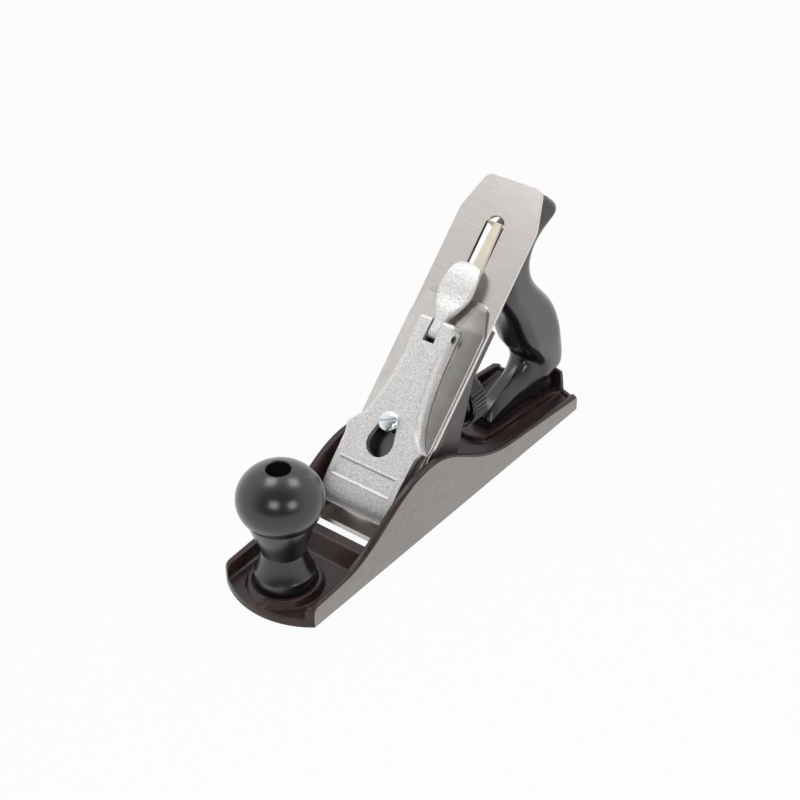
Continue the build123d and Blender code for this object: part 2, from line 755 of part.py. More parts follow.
def cap_edge(side):
    """Lower edge and ear of the lever cap on one side."""
    return [
        Line((cap_lip_s, side * cap_lip_half), (ear_root, side * cap_lip_half)),
        Bezier(
            (ear_root, side * cap_lip_half),
            ((ear_root + cap_ear_s) / 2, side * cap_lip_half),
            ((ear_root + cap_ear_s) / 2, side * cap_ear_half),
            (cap_ear_s, side * cap_ear_half),
        ),
        cap_neck(side, 0),
    ]


cap_ends = [
    Line((cap_lip_s, -cap_lip_half), (cap_lip_s, cap_lip_half)),
    Line((cap_end_s, -cap_end_half), (cap_end_s, cap_end_half)),
]
cap_plan = make_face(cap_edge(-1) + cap_edge(1) + cap_ends)
lever_cap = wall(make_face(cap_side), -half_w, half_w) & plate(cap_plan, 0, 2 * cap_face_off)
roof = cap_face_off - cap_roof_t
hollow_root = cap_ear_half - cap_skirt_t
hollow_end = cap_end_half - cap_skirt_t
hollow = make_face(
    [
        cap_neck(1, cap_skirt_t),
        cap_neck(-1, cap_skirt_t),
        Line((cap_ear_s, -hollow_root), (cap_ear_s, hollow_root)),
        Line((cap_end_s, -hollow_end), (cap_end_s, hollow_end)),
    ]
)
lever_cap -= plate(hollow, 0, roof)
lever_cap -= block(cap_skirt_s - over_cut, cap_ear_s, hollow_root, 0, cap_arch_off)
boss_low = spring_off + spring_t
lever_cap += Pos(spring_rivet_s, 0, 0) * disc(spring_boss_r, boss_low, roof)
lever_cap -= block(cam_slot_s, cap_end_s + over_cut, cam_slot_half, 0, 2 * cap_face_off)
lever_cap -= block(panel_low_s, panel_high_s, panel_half, cap_face_off - panel_d, 2 * cap_face_off)
lever_cap -= Pos(key_s, 0, 0) * disc(key_r, 0, 2 * cap_face_off)
key_run = cap_screw_s - key_s
key_lean = (key_r - key_neck_r) / key_run
key_rise = sqrt(1 - key_lean**2)
key_neck = polygon(
    (key_s + key_r * key_lean, key_r * key_rise),
    (cap_screw_s + key_neck_r * key_lean, key_neck_r * key_rise),
    (cap_screw_s + key_neck_r * key_lean, -key_neck_r * key_rise),
    (key_s + key_r * key_lean, -key_r * key_rise),
)
lever_cap -= plate(key_neck, 0, 2 * cap_face_off)
lever_cap -= Pos(cap_screw_s, 0, 0) * disc(key_neck_r, 0, 2 * cap_face_off)
cam_line = Pos(cam_s, 0, cam_off) * Rot(90, 0, 0)
lever_cap -= cam_line * disc(cam_pin_r + run_gap, -half_w, half_w)
rivet_top = roof + cap_roof_t / 2
lever_cap -= Pos(spring_rivet_s, 0, 0) * disc(spring_rivet_r + run_gap, 0, rivet_top)
save(blade * lever_cap, "lever_cap")

# Leaf spring under the cam, and the rivet that holds it to the lever cap
spring = block(spring_low_s, spring_high_s, spring_half, spring_off, spring_off + spring_t)
spring -= Pos(spring_rivet_s, 0, 0) * disc(spring_rivet_r + run_gap, 0, cam_off)
save(blade * spring, "cap_spring")
rivet = Pos(spring_rivet_s, 0, 0) * disc(spring_rivet_r, spring_off, rivet_top)
save(blade * rivet, "spring_rivet")

# Cam pin, held in the skirts
cam_pin_half = cap_end_half
save(blade * (cam_line * disc(cam_pin_r, -cam_pin_half, cam_pin_half)), "cam_pin")

# Cam lever: barrel on the pin, narrow neck and a spade-shaped thumb pad
cam_half = cam_slot_half - air_gap
barrel_top = cam_off + cam_barrel_r
cam_tip_s = cam_end_s + over_cut
cam_top = [
    Line((cam_s, barrel_top), (cam_neck_s, cam_neck_off)),
    Bezier(
        (cam_neck_s, cam_neck_off),
        ((cam_neck_s + cam_pad_s) / 2, cam_neck_off),
        ((cam_neck_s + cam_pad_s) / 2, cam_pad_off),
        (cam_pad_s, cam_pad_off),
    ),
    Bezier((cam_pad_s, cam_pad_off), (cam_end_s - cam_t, cam_pad_off), (cam_tip_s, cam_end_off)),
    Line((cam_tip_s, cam_end_off), (cam_tip_s, cam_end_off - cam_t / 2)),
    Bezier(
        (cam_tip_s, cam_end_off - cam_t / 2),
        (cam_end_s - cam_t, cam_pad_off - cam_t),
        (cam_pad_s, cam_pad_off - cam_t),
    ),
    Line((cam_pad_s, cam_pad_off - cam_t), (cam_neck_s, cam_off - cam_t / 2)),
    Line((cam_neck_s, cam_off - cam_t / 2), (cam_s, cam_off - cam_t / 2)),
    Line((cam_s, cam_off - cam_t / 2), (cam_s, barrel_top)),
]


def spade_edge(side):
    """Neck and pad edge of the cam lever on one side."""
    flare = cam_pad_s - cam_neck_s
    return [
        Line((cam_s, side * cam_half), (cam_neck_s, side * cam_half)),
        Bezier(
            (cam_neck_s, side * cam_half),
            (cam_neck_s + cam_flare_low * flare, side * cam_half),
            (cam_neck_s + cam_flare_high * flare, side * cam_pad_half),
            (cam_pad_s, side * cam_pad_half),
        ),
        Bezier(
            (cam_pad_s, side * cam_pad_half),
            (cam_end_s, side * cam_pad_half),
            (cam_end_s, side * cam_pad_half / 2),
            (cam_end_s, 0),
        ),
    ]


spade = make_face(spade_edge(-1) + spade_edge(1) + [Line((cam_s, -cam_half), (cam_s, cam_half))])
cam_lever = wall(make_face(cam_top), -half_w, half_w) & plate(spade, 0, 2 * cap_face_off)
cam_lever += cam_line * disc(cam_barrel_r, -cam_half, cam_half)
cam_lever -= cam_line * disc(cam_pin_r + run_gap, -half_w, half_w)
save(blade * cam_lever, "cam_lever")

# Yoke: finger up into the cap iron, barrel on its pin, fork down into the bush
finger_tip = on_slope(yoke_finger_s, yoke_finger_off)
arm_len = (pivot[1] - wheel_axis_z) / cos(yoke_half_swing)
fork_x = pivot[0] - arm_len * sin(yoke_half_swing)
fork_tip = (fork_x, wheel_axis_z)
yoke = link(pivot, finger_tip, yoke_shank_half, -yoke_finger_half, yoke_finger_half)
tip_line = Pos(finger_tip[0], 0, finger_tip[1]) * Rot(90, 0, 0)
fork_line = Pos(fork_tip[0], 0, fork_tip[1]) * Rot(90, 0, 0)
yoke += tip_line * disc(yoke_tip_r, -yoke_finger_half, yoke_finger_half)
yoke += pin_line * disc(yoke_barrel_r, -yoke_barrel_half, yoke_barrel_half)
fork_arm = link(pivot, fork_tip, yoke_arm_half, yoke_arm_in, yoke_barrel_half)
fork_arm += fork_line * disc(yoke_fork_r, -yoke_barrel_half, -yoke_arm_in)
yoke += mirrored(fork_arm)
yoke -= pin_line * disc(yoke_pin_r + run_gap, -half_w, half_w)
save(yoke, "yoke")

# Yoke pin, held in the lugs of the frog
save(pin_line * disc(yoke_pin_r, -pin_half, pin_half), "yoke_pin")

# Depth stud, fixed in the boss of the frog
save(along_x * disc(thread_r, stud_tail_x, stud_end_x), "depth_stud")

# Depth bush: grooved collar and barrel running on the stud
groove_half_x = fork_x - bush_front_x - bush_flange_t
groove_back = fork_x + groove_half_x
flange_back = groove_back + bush_flange_t
bush = disc(bush_flange_r, bush_front_x, bush_front_x + bush_flange_t)
bush += disc(bush_neck_r, bush_front_x, flange_back)
bush += disc(bush_flange_r, groove_back, flange_back)
bush += disc(bush_barrel_r, flange_back, wheel_back_x)
bush -= disc(thread_r + run_gap, bush_front_x - over_cut, wheel_back_x + over_cut)
save(along_x * bush, "depth_bush")

# Depth wheel, turning on the barrel of the bush
wheel = disc(wheel_r, wheel_front_x, wheel_back_x)
wheel = chamfer(wheel.edges(), wheel_edge)
wheel -= disc(bush_barrel_r + run_gap, wheel_front_x - over_cut, wheel_back_x + over_cut)
save(along_x * wheel, "depth_wheel")

# Lateral lever: plate let into the frog, with a folded thumb tab behind the iron
lateral_high = -iron_t - air_gap / 2
lateral_low = lateral_high - lateral_t
arm = polygon(
    (lateral_disc_s, lateral_low_r),
    (lateral_rivet_s, lateral_low_r),
    (frog_top_s, lateral_arm_half),
    (lateral_tip_s, lateral_tip_half),
    (lateral_tip_s, -lateral_tip_half),
    (frog_top_s, -lateral_arm_half),
    (lateral_rivet_s, -lateral_low_r),
    (lateral_disc_s, -lateral_low_r),
)
arm += Pos(lateral_disc_s, 0) * Circle(lateral_low_r)
lateral = plate(arm, lateral_low, lateral_high)
tab_s = lateral_tip_s - lateral_t
lateral += block(tab_s, lateral_tip_s, lateral_tab_half, lateral_low - lateral_tab_drop, lateral_low + lateral_t / 2)
lateral -= Pos(lateral_rivet_s, 0, 0) * disc(lateral_rivet_r + run_gap, through, 0)
save(blade * lateral, "lateral_lever")

# Lateral disc, riding in the slot of the iron, and the rivet the lever turns on
disc_top = -air_gap
save(blade * (Pos(lateral_disc_s, 0, 0) * disc(lateral_disc_r, lateral_high, disc_top)), "lateral_disc")
rivet = disc(lateral_rivet_r, frog_back_off, lateral_high)
save(blade * (Pos(lateral_rivet_s, 0, 0) * rivet), "lateral_rivet")
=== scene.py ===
from math import acos, asin, cos, hypot, pi, radians, sin, sqrt

import bmesh
import bpy
from mathutils import Matrix, Vector, noise


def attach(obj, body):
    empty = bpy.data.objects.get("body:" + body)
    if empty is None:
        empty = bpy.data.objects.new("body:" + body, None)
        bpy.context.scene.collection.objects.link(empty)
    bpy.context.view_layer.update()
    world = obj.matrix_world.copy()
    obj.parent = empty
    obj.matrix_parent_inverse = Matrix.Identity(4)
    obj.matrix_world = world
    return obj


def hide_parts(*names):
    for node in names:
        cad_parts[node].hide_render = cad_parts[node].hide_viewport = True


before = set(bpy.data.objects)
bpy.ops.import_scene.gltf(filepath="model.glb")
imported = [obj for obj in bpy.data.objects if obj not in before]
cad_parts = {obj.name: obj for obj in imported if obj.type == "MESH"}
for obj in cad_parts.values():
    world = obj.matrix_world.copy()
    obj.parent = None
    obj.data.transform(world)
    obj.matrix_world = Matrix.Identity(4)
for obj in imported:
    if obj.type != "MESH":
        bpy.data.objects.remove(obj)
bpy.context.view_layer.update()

# Bed: one grey iron casting with two cheeks, a bowed toe and heel, a knob boss and a tote tray.
# Its sides and sole are ground bare. The inside, the top edges and both ends are enamelled.
# Everything else is screwed to it, and the plane stands on its sole.
MM = 0.001
BED_HALF, BED_SIDE, CHEEK_IN = 119.0, 30.0, 26.0
TOE_BOW, HEEL_BOW, BED_FLOOR = 10.5, 8.0, 5.0
CHEEK_ROUND, FLOOR_ROUND, END_ROUND = 1.2, 2.0, 0.9
FLOOR_HALF = CHEEK_IN - FLOOR_ROUND
ROW_STEP, FLOOR_STEP = 0.55, 0.4
KNOB_X, BOSS_R, BOSS_RISE, BOSS_SINK = -106.6, 19.6, 4.4, 1.2
BAR_FOOT, BAR_BROW, BAR_BACK, BAR_RISE, BAR_LEAN = -79.7, -72.8, -58.0, 8.0, 2.7 / 13.0
MOUTH_FRONT, MOUTH_BACK, MOUTH_BROW, MOUTH_LEDGE = -64.2, -51.5, -55.0, -50.0
CUT_LOW, CUT_HIGH, LEDGE_Z = -2.0, 16.0, 5.6
SEAT_FRONT, SEAT_BACK, SEAT_HALF, SEAT_RISE = -45.5, 9.0, 21.5, 4.0
RIB_NOSE_X, RIB_NOSE_R, RIB_END_X, RIB_SPREAD = 61.0, 11.6, 117.0, 5.0 / 56.0
TRAY_RISE, RIB_RISE, RIB_HALF = 1.4, 1.6, 1.35
HEEL_WALL_RISE, HEEL_RIM_RISE, HEEL_WALL_T, HEEL_WALL_HALF = 13.0, 1.3, 3.0, 17.0
ENAMEL_DARK, ENAMEL_RED = "#312223", "#45302f"
CAST_GRAIN, ENAMEL_PATCH = 1.5, 14.0
GROUND_IRON, GROUND_IRON_LINE = "#a39e9b", "#94908d"
# Real grind lines are finer. These are as wide as the picture can show.
GRIND_ACROSS, GRIND_ALONG, GRIND_TURN = 0.8, 7.0, 12.0
# Top edge of a cheek from toe to heel, as curves: low at both ends, and swelling beside the frog.
CHEEK_LINE = [
    [(-119.0, 8.7), (-119.0, 12.7), (-115.0, 12.7)],
    [(-115.0, 12.7), (-96.0, 14.0)],
    [(-96.0, 14.0), (-66.0, 16.05), (-51.0, 43.0), (-21.0, 43.0)],
    [(-21.0, 43.0), (2.0, 43.0), (16.0, 18.4), (52.0, 15.2)],
    [(52.0, 15.2), (115.4, 9.6)],
    [(115.4, 9.6), (119.0, 9.6), (119.0, 7.0)],
]


def linear(hex_colour):
    """sRGB hex to the linear colour that the shaders use."""
    parts = [int(hex_colour[i : i + 2], 16) / 255 for i in (1, 3, 5)]
    return [c / 12.92 if c <= 0.04045 else ((c + 0.055) / 1.055) ** 2.4 for c in parts] + [1.0]


def add(tree, kind, inputs=None, **settings):
    """Add one node to a tree, with its settings, and its inputs set or linked."""
    made = tree.nodes.new(kind)
    for name, value in settings.items():
        setattr(made, name, value)
    for name, value in (inputs or {}).items():
        if isinstance(value, bpy.types.NodeSocket):
            tree.links.new(value, made.inputs[name])
        else:
            made.inputs[name].default_value = value
    return made


def finish(name, **sockets):
    """Start a finish: a material, its tree, its shader with the steady values set, and the place on the object."""
    made = bpy.data.materials.new(name)
    made.use_nodes = True
    shader = made.node_tree.nodes["Principled BSDF"]
    for socket, value in sockets.items():
        shader.inputs[socket.replace("_", " ")].default_value = value
    return made, made.node_tree, shader, add(made.node_tree, "ShaderNodeTexCoord").outputs["Object"]


def patches(tree, place, size, detail, rough=0.5):
    """A cloudy pattern with patches about so many millimetres across."""
    values = {"Vector": place, "Scale": 1 / (size * MM), "Detail": detail, "Roughness": rough}
    return add(tree, "ShaderNodeTexNoise", values).outputs["Fac"]


def grind_lines(tree, place, spacing):
    """A pattern drawn out into lines, with its spacing in millimetres along each axis."""
    drawn = add(tree, "ShaderNodeMapping", {"Vector": place, "Scale": [1 / (each * MM) for each in spacing]})
    values = {"Vector": drawn.outputs["Vector"], "Scale": 1.0, "Detail": 3.0}
    return add(tree, "ShaderNodeTexNoise", values).outputs["Fac"]


def two_tone(tree, onto, pattern, dark, pale, low=0.35, high=0.7):
    """Feed a socket with a colour that runs from dark to pale as a pattern rises from low to high."""
    ramp = add(tree, "ShaderNodeValToRGB", {"Fac": pattern})
    for end, level, tone in zip(ramp.color_ramp.elements, (low, high), (dark, pale)):
        end.position, end.color = level, linear(tone)
    tree.links.new(ramp.outputs["Color"], onto)


def roughen(tree, shader, height, strength, depth):
    """Give a finish a relief of so many millimetres."""
    bump = add(tree, "ShaderNodeBump", {"Height": height, "Strength": strength, "Distance": depth * MM})
    tree.links.new(bump.outputs["Normal"], shader.inputs["Normal"])


def step(t):
    """Smooth step from 0 to 1."""
    t = min(1.0, max(0.0, t))
    return t * t * (3 - 2 * t)


def bezier_height(x, points):
    """Height at x of a Bezier curve, whose control points run forward in x."""
    low, high = 0.0, 1.0
    for _ in range(40):
        t = (low + high) / 2
        line = list(points)
        while len(line) > 1:
            line = [(a[0] + (b[0] - a[0]) * t, a[1] + (b[1] - a[1]) * t) for a, b in zip(line, line[1:])]
        low, high = (t, high) if line[0][0] < x else (low, t)
    return line[0][1]


def line_height(x, curves):
    """Height at x of a line drawn by curves that follow one another."""
    return bezier_height(x, next((curve for curve in curves if x < curve[-1][0]), curves[-1]))


def rounding(past, radius):
    """How far a rounded corner draws in at a point that lies so far past its start."""
    return radius - sqrt(max(0.0, radius**2 - max(0.0, past) ** 2))


def arc(cx, cy, rx, ry, start, stop, count):
    """Points of an elliptic arc, with its angles in degrees."""
    turns = [radians(start + (stop - start) * i / count) for i in range(count + 1)]
    return [(cx + rx * cos(a), cy + ry * sin(a)) for a in turns]


def toe_x(y):
    """Edge of the bowed toe."""
    radius = (BED_SIDE**2 + TOE_BOW**2) / (2 * TOE_BOW)
    return radius - BED_HALF - TOE_BOW - sqrt(radius**2 - y * y)


def heel_x(y):
    """Edge of the bowed heel."""
    radius = (BED_SIDE**2 + HEEL_BOW**2) / (2 * HEEL_BOW)
    return BED_HALF + HEEL_BOW - radius + sqrt(radius**2 - y * y)


def floor_height(x, y):
    """Inside of the casting between the cheeks, with its boss, bar, seat, tray and heel wall."""
    z = BED_FLOOR
    r = hypot(x - KNOB_X, y)
    z += BOSS_RISE * step((BOSS_R + 1.0 - r) / 1.9) - BOSS_SINK * step((BOSS_R - 2.5 - r) / 1.0)
    soft = [(v + sqrt(v * v + 1.2)) / 2 for v in (x - BAR_FOOT, x - BAR_BROW)]
    z += BAR_RISE * (soft[0] - soft[1]) / (BAR_BROW - BAR_FOOT) * step((BAR_BACK - x) / 2.5)
    seat = step((x - SEAT_FRONT + 0.4) / 0.8) * step((SEAT_BACK + 0.4 - x) / 0.8)
    z += SEAT_RISE * seat * step((SEAT_HALF + 0.4 - abs(y)) / 0.8)
    if x > RIB_NOSE_X - RIB_NOSE_R - 2:
        inside = RIB_NOSE_R + (x - RIB_NOSE_X) * RIB_SPREAD - abs(y)
        if x < RIB_NOSE_X:
            inside = RIB_NOSE_R - hypot(x - RIB_NOSE_X, y)
        ridge = max(0.0, 1 - ((inside - 1.2) / RIB_HALF) ** 2)
        z += TRAY_RISE * step((inside + 0.3) / 1.2) + RIB_RISE * ridge**1.5 * step((RIB_END_X + 1 - x) / 2)
        deep = heel_x(y) - x
        rim = HEEL_RIM_RISE * step((HEEL_WALL_T + 0.6 - deep) / 1.0)
        wall = HEEL_WALL_RISE * step((HEEL_WALL_T + 0.8 - deep) / 1.0) * step((HEEL_WALL_HALF + 0.6 - abs(y)) / 2.6)
        z = max(z, BED_FLOOR + rim, BED_FLOOR + wall)
    return z


def bed_point(u, y, z):
    """A point of the casting, so far along from the toe, with both ends bowed."""
    share = u / (2 * BED_HALF)
    bow = (toe_x(y) + BED_HALF) * (1 - share) + (heel_x(y) - BED_HALF) * share
    return (u - BED_HALF + bow, y, z)


def settle(made):
    """Make the evaluated shape of an object its plain mesh."""
    shaped = bpy.data.meshes.new_from_object(made.evaluated_get(bpy.context.evaluated_depsgraph_get()))
    made.modifiers.clear()
    made.data = shaped


def mesh_object(name, points, faces, finishes, marks=None):
    """An object from points in millimetres, with its finishes. The marks pick the finish of each face."""
    mesh = bpy.data.meshes.new(name)
    mesh.from_pydata([tuple(c * MM for c in p) for p in points], [], faces)
    for each in finishes:
        mesh.materials.append(each)
    if marks:
        mesh.polygons.foreach_set("material_index", marks)
    made = bpy.data.objects.new(name, mesh)
    bpy.context.scene.collection.objects.link(made)
    return made


def tidy(made, hard=40.0, merge=0.0):
    """Merge doubles, point the faces outwards, and smooth all but the hard edges."""
    shape = bmesh.new()
    shape.from_mesh(made.data)
    if merge:
        bmesh.ops.remove_doubles(shape, verts=shape.verts, dist=merge * MM)
        bmesh.ops.dissolve_degenerate(shape, edges=shape.edges, dist=merge * MM)
    bmesh.ops.recalc_face_normals(shape, faces=shape.faces)
    shape.to_mesh(made.data)
    shape.free()
    made.data.polygons.foreach_set("use_smooth", [True] * len(made.data.polygons))
    made.data.set_sharp_from_angle(angle=radians(hard))
    return made


def prism(outline, low, high, place):
    """Points and faces of an outline raised between two heights, put in place point by point."""
    count = len(outline)
    points = [place(a, b, h) for h in (low, high) for a, b in outline]
    sides = [(i, (i + 1) % count, count + (i + 1) % count, count + i) for i in range(count)]
    return points, [tuple(reversed(range(count))), tuple(range(count, 2 * count))] + sides


def combine(made, points, faces, operation="DIFFERENCE", mark=0):
    """Cut a closed shape out of an object, or join it on. The mark picks the finish of the new faces."""
    other = tidy(mesh_object("cutter", points, faces, list(made.data.materials), [mark] * len(faces)))
    change = made.modifiers.new("combine", "BOOLEAN")
    change.operation, change.solver, change.object = operation, "EXACT", other
    settle(made)
    bpy.data.objects.remove(other)


def fasten(made, body, slot, *nodes):
    """Let a piece ride on its body and stand for its CAD nodes. The slot argument is not used."""
    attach(made, body)
    if nodes:
        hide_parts(*nodes)
    return made


# Enamel over a sand casting: glossy and dark, with the grain of the sand showing through.
enamel, tree, shader, place = finish("red_brown_enamel_on_cast_iron", Roughness=0.28, Specular_IOR_Level=0.42)
two_tone(tree, shader.inputs["Base Color"], patches(tree, place, ENAMEL_PATCH, 4.0), ENAMEL_DARK, ENAMEL_RED)
roughen(tree, shader, patches(tree, place, CAST_GRAIN, 3.0), 0.28, 0.35)

# Ground iron: a flat grey with fine slanting lines from the grinding wheel.
ground, tree, shader, place = finish("ground_cast_iron", Metallic=0.85, Roughness=0.46)
turned = add(tree, "ShaderNodeMapping", {"Vector": place, "Rotation": (0.0, radians(GRIND_TURN), 0.0)})
grind = grind_lines(tree, turned.outputs["Vector"], (GRIND_ALONG, GRIND_ALONG, GRIND_ACROSS))
two_tone(tree, shader.inputs["Base Color"], grind, GROUND_IRON_LINE, GROUND_IRON, low=0.3)
roughen(tree, shader, grind, 0.12, 0.1)

# The casting is drawn row by row from toe to heel, each row running over both cheeks and the floor between.
ends = [0.0, 0.08, 0.3, 0.6, END_ROUND]
count = round((2 * BED_HALF - 4) / ROW_STEP)
along = ends + [2 + i * (2 * BED_HALF - 4) / count for i in range(count + 1)]
along += [2 * BED_HALF - e for e in reversed(ends)]
count = round(2 * FLOOR_HALF / FLOOR_STEP)
across = [-FLOOR_HALF + i * 2 * FLOOR_HALF / count for i in range(count + 1)]
points = []
for u in along:
    drop = rounding(END_ROUND - min(u, 2 * BED_HALF - u), END_ROUND)
    top = line_height(u - BED_HALF, CHEEK_LINE) - drop
    base = floor_height(bed_point(u, FLOOR_HALF, 0)[0], FLOOR_HALF) - drop
    edge_r, foot_r = min(CHEEK_ROUND, 0.35 * (top - base)), min(FLOOR_ROUND, 0.5 * (top - base))
    wall_top, wall_foot = top - edge_r, base + foot_r
    cheek = [(BED_SIDE, 0.0), (BED_SIDE, wall_top / 2), (BED_SIDE, wall_top)]
    cheek += arc(BED_SIDE - edge_r, wall_top, edge_r, edge_r, 22.5, 90, 3)
    cheek += arc(CHEEK_IN + edge_r, wall_top, -edge_r, edge_r, 90, 0, 4)
    cheek += [(CHEEK_IN, wall_top + (wall_foot - wall_top) * i / 4) for i in (1, 2, 3, 4)]
    for a in (15, 30, 50, 70):
        cheek.append((CHEEK_IN - FLOOR_ROUND * (1 - cos(radians(a))), base + foot_r * (1 - sin(radians(a)))))
    # The floor's points follow the rib of the tray, which spreads towards the heel.
    rib_half = RIB_NOSE_R + max(0.0, u - BED_HALF - RIB_NOSE_X) * RIB_SPREAD
    rest = (FLOOR_HALF - rib_half) / (FLOOR_HALF - RIB_NOSE_R)
    middle = []
    for y in across:
        out = max(0.0, abs(y) - RIB_NOSE_R)
        spread = (min(abs(y), RIB_NOSE_R) * rib_half / RIB_NOSE_R + out * rest) * (1 if y > 0 else -1)
        middle.append((spread, floor_height(bed_point(u, spread, 0)[0], spread) - drop))
    row = [(-y, z) for y, z in cheek] + middle + list(reversed(cheek))
    points.append([bed_point(u, y, z) for y, z in row])
width = len(points[0])
faces, marks = [], []
for i in range(len(points) - 1):
    for j in range(width - 1):
        a = i * width + j
        faces.append((a, a + 1, a + width + 1, a + width))
        marks.append(1 if j < 2 or j >= width - 3 else 0)
flat_points = [p for row in points for p in row]
for i in (0, len(points) - 1):
    row = range(i * width, (i + 1) * width)
    low = [row[0]]
    for j in row[1:-1]:
        low.append(len(flat_points))
        flat_points.append((flat_points[j][0], flat_points[j][1], 0.0))
    low.append(row[-1])
    for j in range(width - 1):
        faces.append((row[j], row[j + 1], low[j + 1], low[j]))
        marks.append(0)
    if i == 0:
        sole = list(low)
    else:
        sole += [k * width + width - 1 for k in range(1, len(points) - 1)]
        sole += list(reversed(low))
        sole += [k * width for k in range(len(points) - 2, 0, -1)]
faces.append(tuple(sole))
marks.append(1)
bed = mesh_object("bed_casting", flat_points, faces, [enamel, ground], marks)
tidy(bed, merge=0.002)
mouth = [(MOUTH_FRONT - CUT_LOW * BAR_LEAN, CUT_LOW), (MOUTH_FRONT - CUT_HIGH * BAR_LEAN, CUT_HIGH)]
mouth += [(MOUTH_BROW, CUT_HIGH), (MOUTH_LEDGE, LEDGE_Z), (SEAT_FRONT + 0.5, LEDGE_Z), (MOUTH_BACK, CUT_LOW)]
combine(bed, *prism(mouth, -CHEEK_IN + 0.2, CHEEK_IN - 0.2, lambda x, z, y: (x, y, z)), mark=1)
fasten(tidy(bed), "body", "painted_iron", "bed")

# Front knob: a ball on a waisted foot, moulded in black plastic and held down by a stud and nut.
# The foot sits in the ring of the boss, and the nut lies deep in the well on top of the ball.
BALL_Z, BALL_R, BALL_RISE, NECK_R, WAIST_R, WAIST_Z = 60.0, 22.4, 19.3, 17.6, 11.3, 27.8
FOOT_Z, FOOT_TOP, FOOT_R, FLARE_R, FLARE_Z, CUP_R, CUP_Z = 8.2, 15.4, 15.7, 13.9, 18.1, 15.3, 38.8
WAIST_EASE_R, WAIST_EASE = 0.8, 4.2
WELL_R, WELL_LIP, WELL_FLOOR, KNOB_BORE, FOOT_EASE = 6.2, 0.8, 62.0, 3.35, 0.6
PLASTIC, PLASTIC_PALE, PLASTIC_GRAIN = "#17151a", "#1d1b21", 0.5


def turned_piece(profile, sides, place):
    """Points and faces of a profile of radius and height turned about an axis and closed on itself."""
    ring, count = [], len(profile)
    for radius, height in profile:
        for i in range(sides):
            a = 2 * pi * i / sides
            ring.append(place(radius * cos(a), radius * sin(a), height))
    faces = []
    for j in range(count):
        k = (j + 1) % count
        for i in range(sides):
            n = (i + 1) % sides
            faces.append((j * sides + i, j * sides + n, k * sides + n, k * sides + i))
    return ring, faces


# Moulded plastic: nearly black, satin, with a faint mould grain that softens its highlights.
plastic, tree, shader, place = finish(
    "black_moulded_plastic", Roughness=0.24, IOR=1.6, Coat_Weight=0.35, Coat_Roughness=0.24
)
grain = patches(tree, place, PLASTIC_GRAIN, 2.0)
two_tone(tree, shader.inputs["Base Color"], grain, PLASTIC, PLASTIC_PALE)
roughen(tree, shader, grain, 0.05, 0.05)

ball_low, ball_high = -acos(NECK_R / BALL_R), acos((WELL_R + WELL_LIP) / BALL_R)
join_z = BALL_Z + BALL_RISE * sin(ball_low)
brim_z = BALL_Z + BALL_RISE * sin(ball_high)
eased_r = WAIST_R + WAIST_EASE_R
flare = [(FOOT_R, FOOT_TOP), (FLARE_R, FLARE_Z), (eased_r, WAIST_Z - WAIST_EASE), (WAIST_R, WAIST_Z)]
cup = [(WAIST_R, WAIST_Z), (eased_r, WAIST_Z + WAIST_EASE), (CUP_R, CUP_Z), (NECK_R, join_z)]
outline = [(KNOB_BORE, FOOT_Z), (FOOT_R - FOOT_EASE, FOOT_Z)]
outline += arc(FOOT_R - FOOT_EASE, FOOT_Z + FOOT_EASE, FOOT_EASE, FOOT_EASE, -60, 0, 6)
for curve in (flare, cup):
    for i in range(24):
        t = i / 24
        w = [(1 - t) ** 3, 3 * t * (1 - t) ** 2, 3 * t * t * (1 - t), t**3]
        outline.append((sum(a * p[0] for a, p in zip(w, curve)), sum(a * p[1] for a, p in zip(w, curve))))
ball_turns = [ball_low + (ball_high - ball_low) * i / 64 for i in range(65)]
outline += [(BALL_R * cos(a), BALL_Z + BALL_RISE * sin(a)) for a in ball_turns]
outline += arc(WELL_R + WELL_LIP, brim_z - 0.9, WELL_LIP, 0.95, 105, 180, 8)
outline += [(WELL_R, brim_z - 5), (WELL_R, WELL_FLOOR), (KNOB_BORE, WELL_FLOOR)]
knob = mesh_object("front_knob_ball", *turned_piece(outline, 128, lambda x, y, z: (x + KNOB_X, y, z)), [plastic])
fasten(tidy(knob, hard=15), "body", "black_plastic", "front_knob")

# Tote: the curved rear grip, moulded in the same black plastic, with a toe that runs forward in the tray.
# A long stud leans through it, and its nut lies in the well under the horn.
# Its shape is the CAD solid's, with every edge eased as a mould leaves it.
TOTE_CELL, TOTE_EASE, ROOT_EASE = 0.7, 12, 160
ROOT_LOW, ROOT_HIGH, ROOT_FRONT = 9.0, 48.0, 88.0


def cad_copy(name, node):
    """A copy of a CAD node's mesh, with its loose triangles merged."""
    made = bpy.data.objects.new(name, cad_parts[node].data.copy())
    made.data.materials.clear()
    bpy.context.scene.collection.objects.link(made)
    shape = bmesh.new()
    shape.from_mesh(made.data)
    bmesh.ops.remove_doubles(shape, verts=shape.verts, dist=0.002 * MM)
    shape.to_mesh(made.data)
    shape.free()
    return made


tote = cad_copy("tote_grip", "tote")
even = tote.modifiers.new("even", "REMESH")
even.mode, even.voxel_size = "VOXEL", TOTE_CELL * MM
settle(tote)
root = tote.vertex_groups.new(name="root")
for v in tote.data.vertices:
    x, z = v.co.x / MM, v.co.z / MM
    share = step((z - ROOT_LOW) / 6) * step((ROOT_HIGH - z) / 10) * step((x - ROOT_FRONT) / 10)
    root.add([v.index], share, "REPLACE")
for passes, group in ((TOTE_EASE, ""), (ROOT_EASE, "root")):
    ease = tote.modifiers.new("ease", "SMOOTH")
    ease.factor, ease.iterations, ease.vertex_group = 0.5, passes, group
settle(tote)
tote.vertex_groups.clear()
tote.data.materials.append(plastic)
fasten(tidy(tote, hard=75), "body", "black_plastic", "tote")
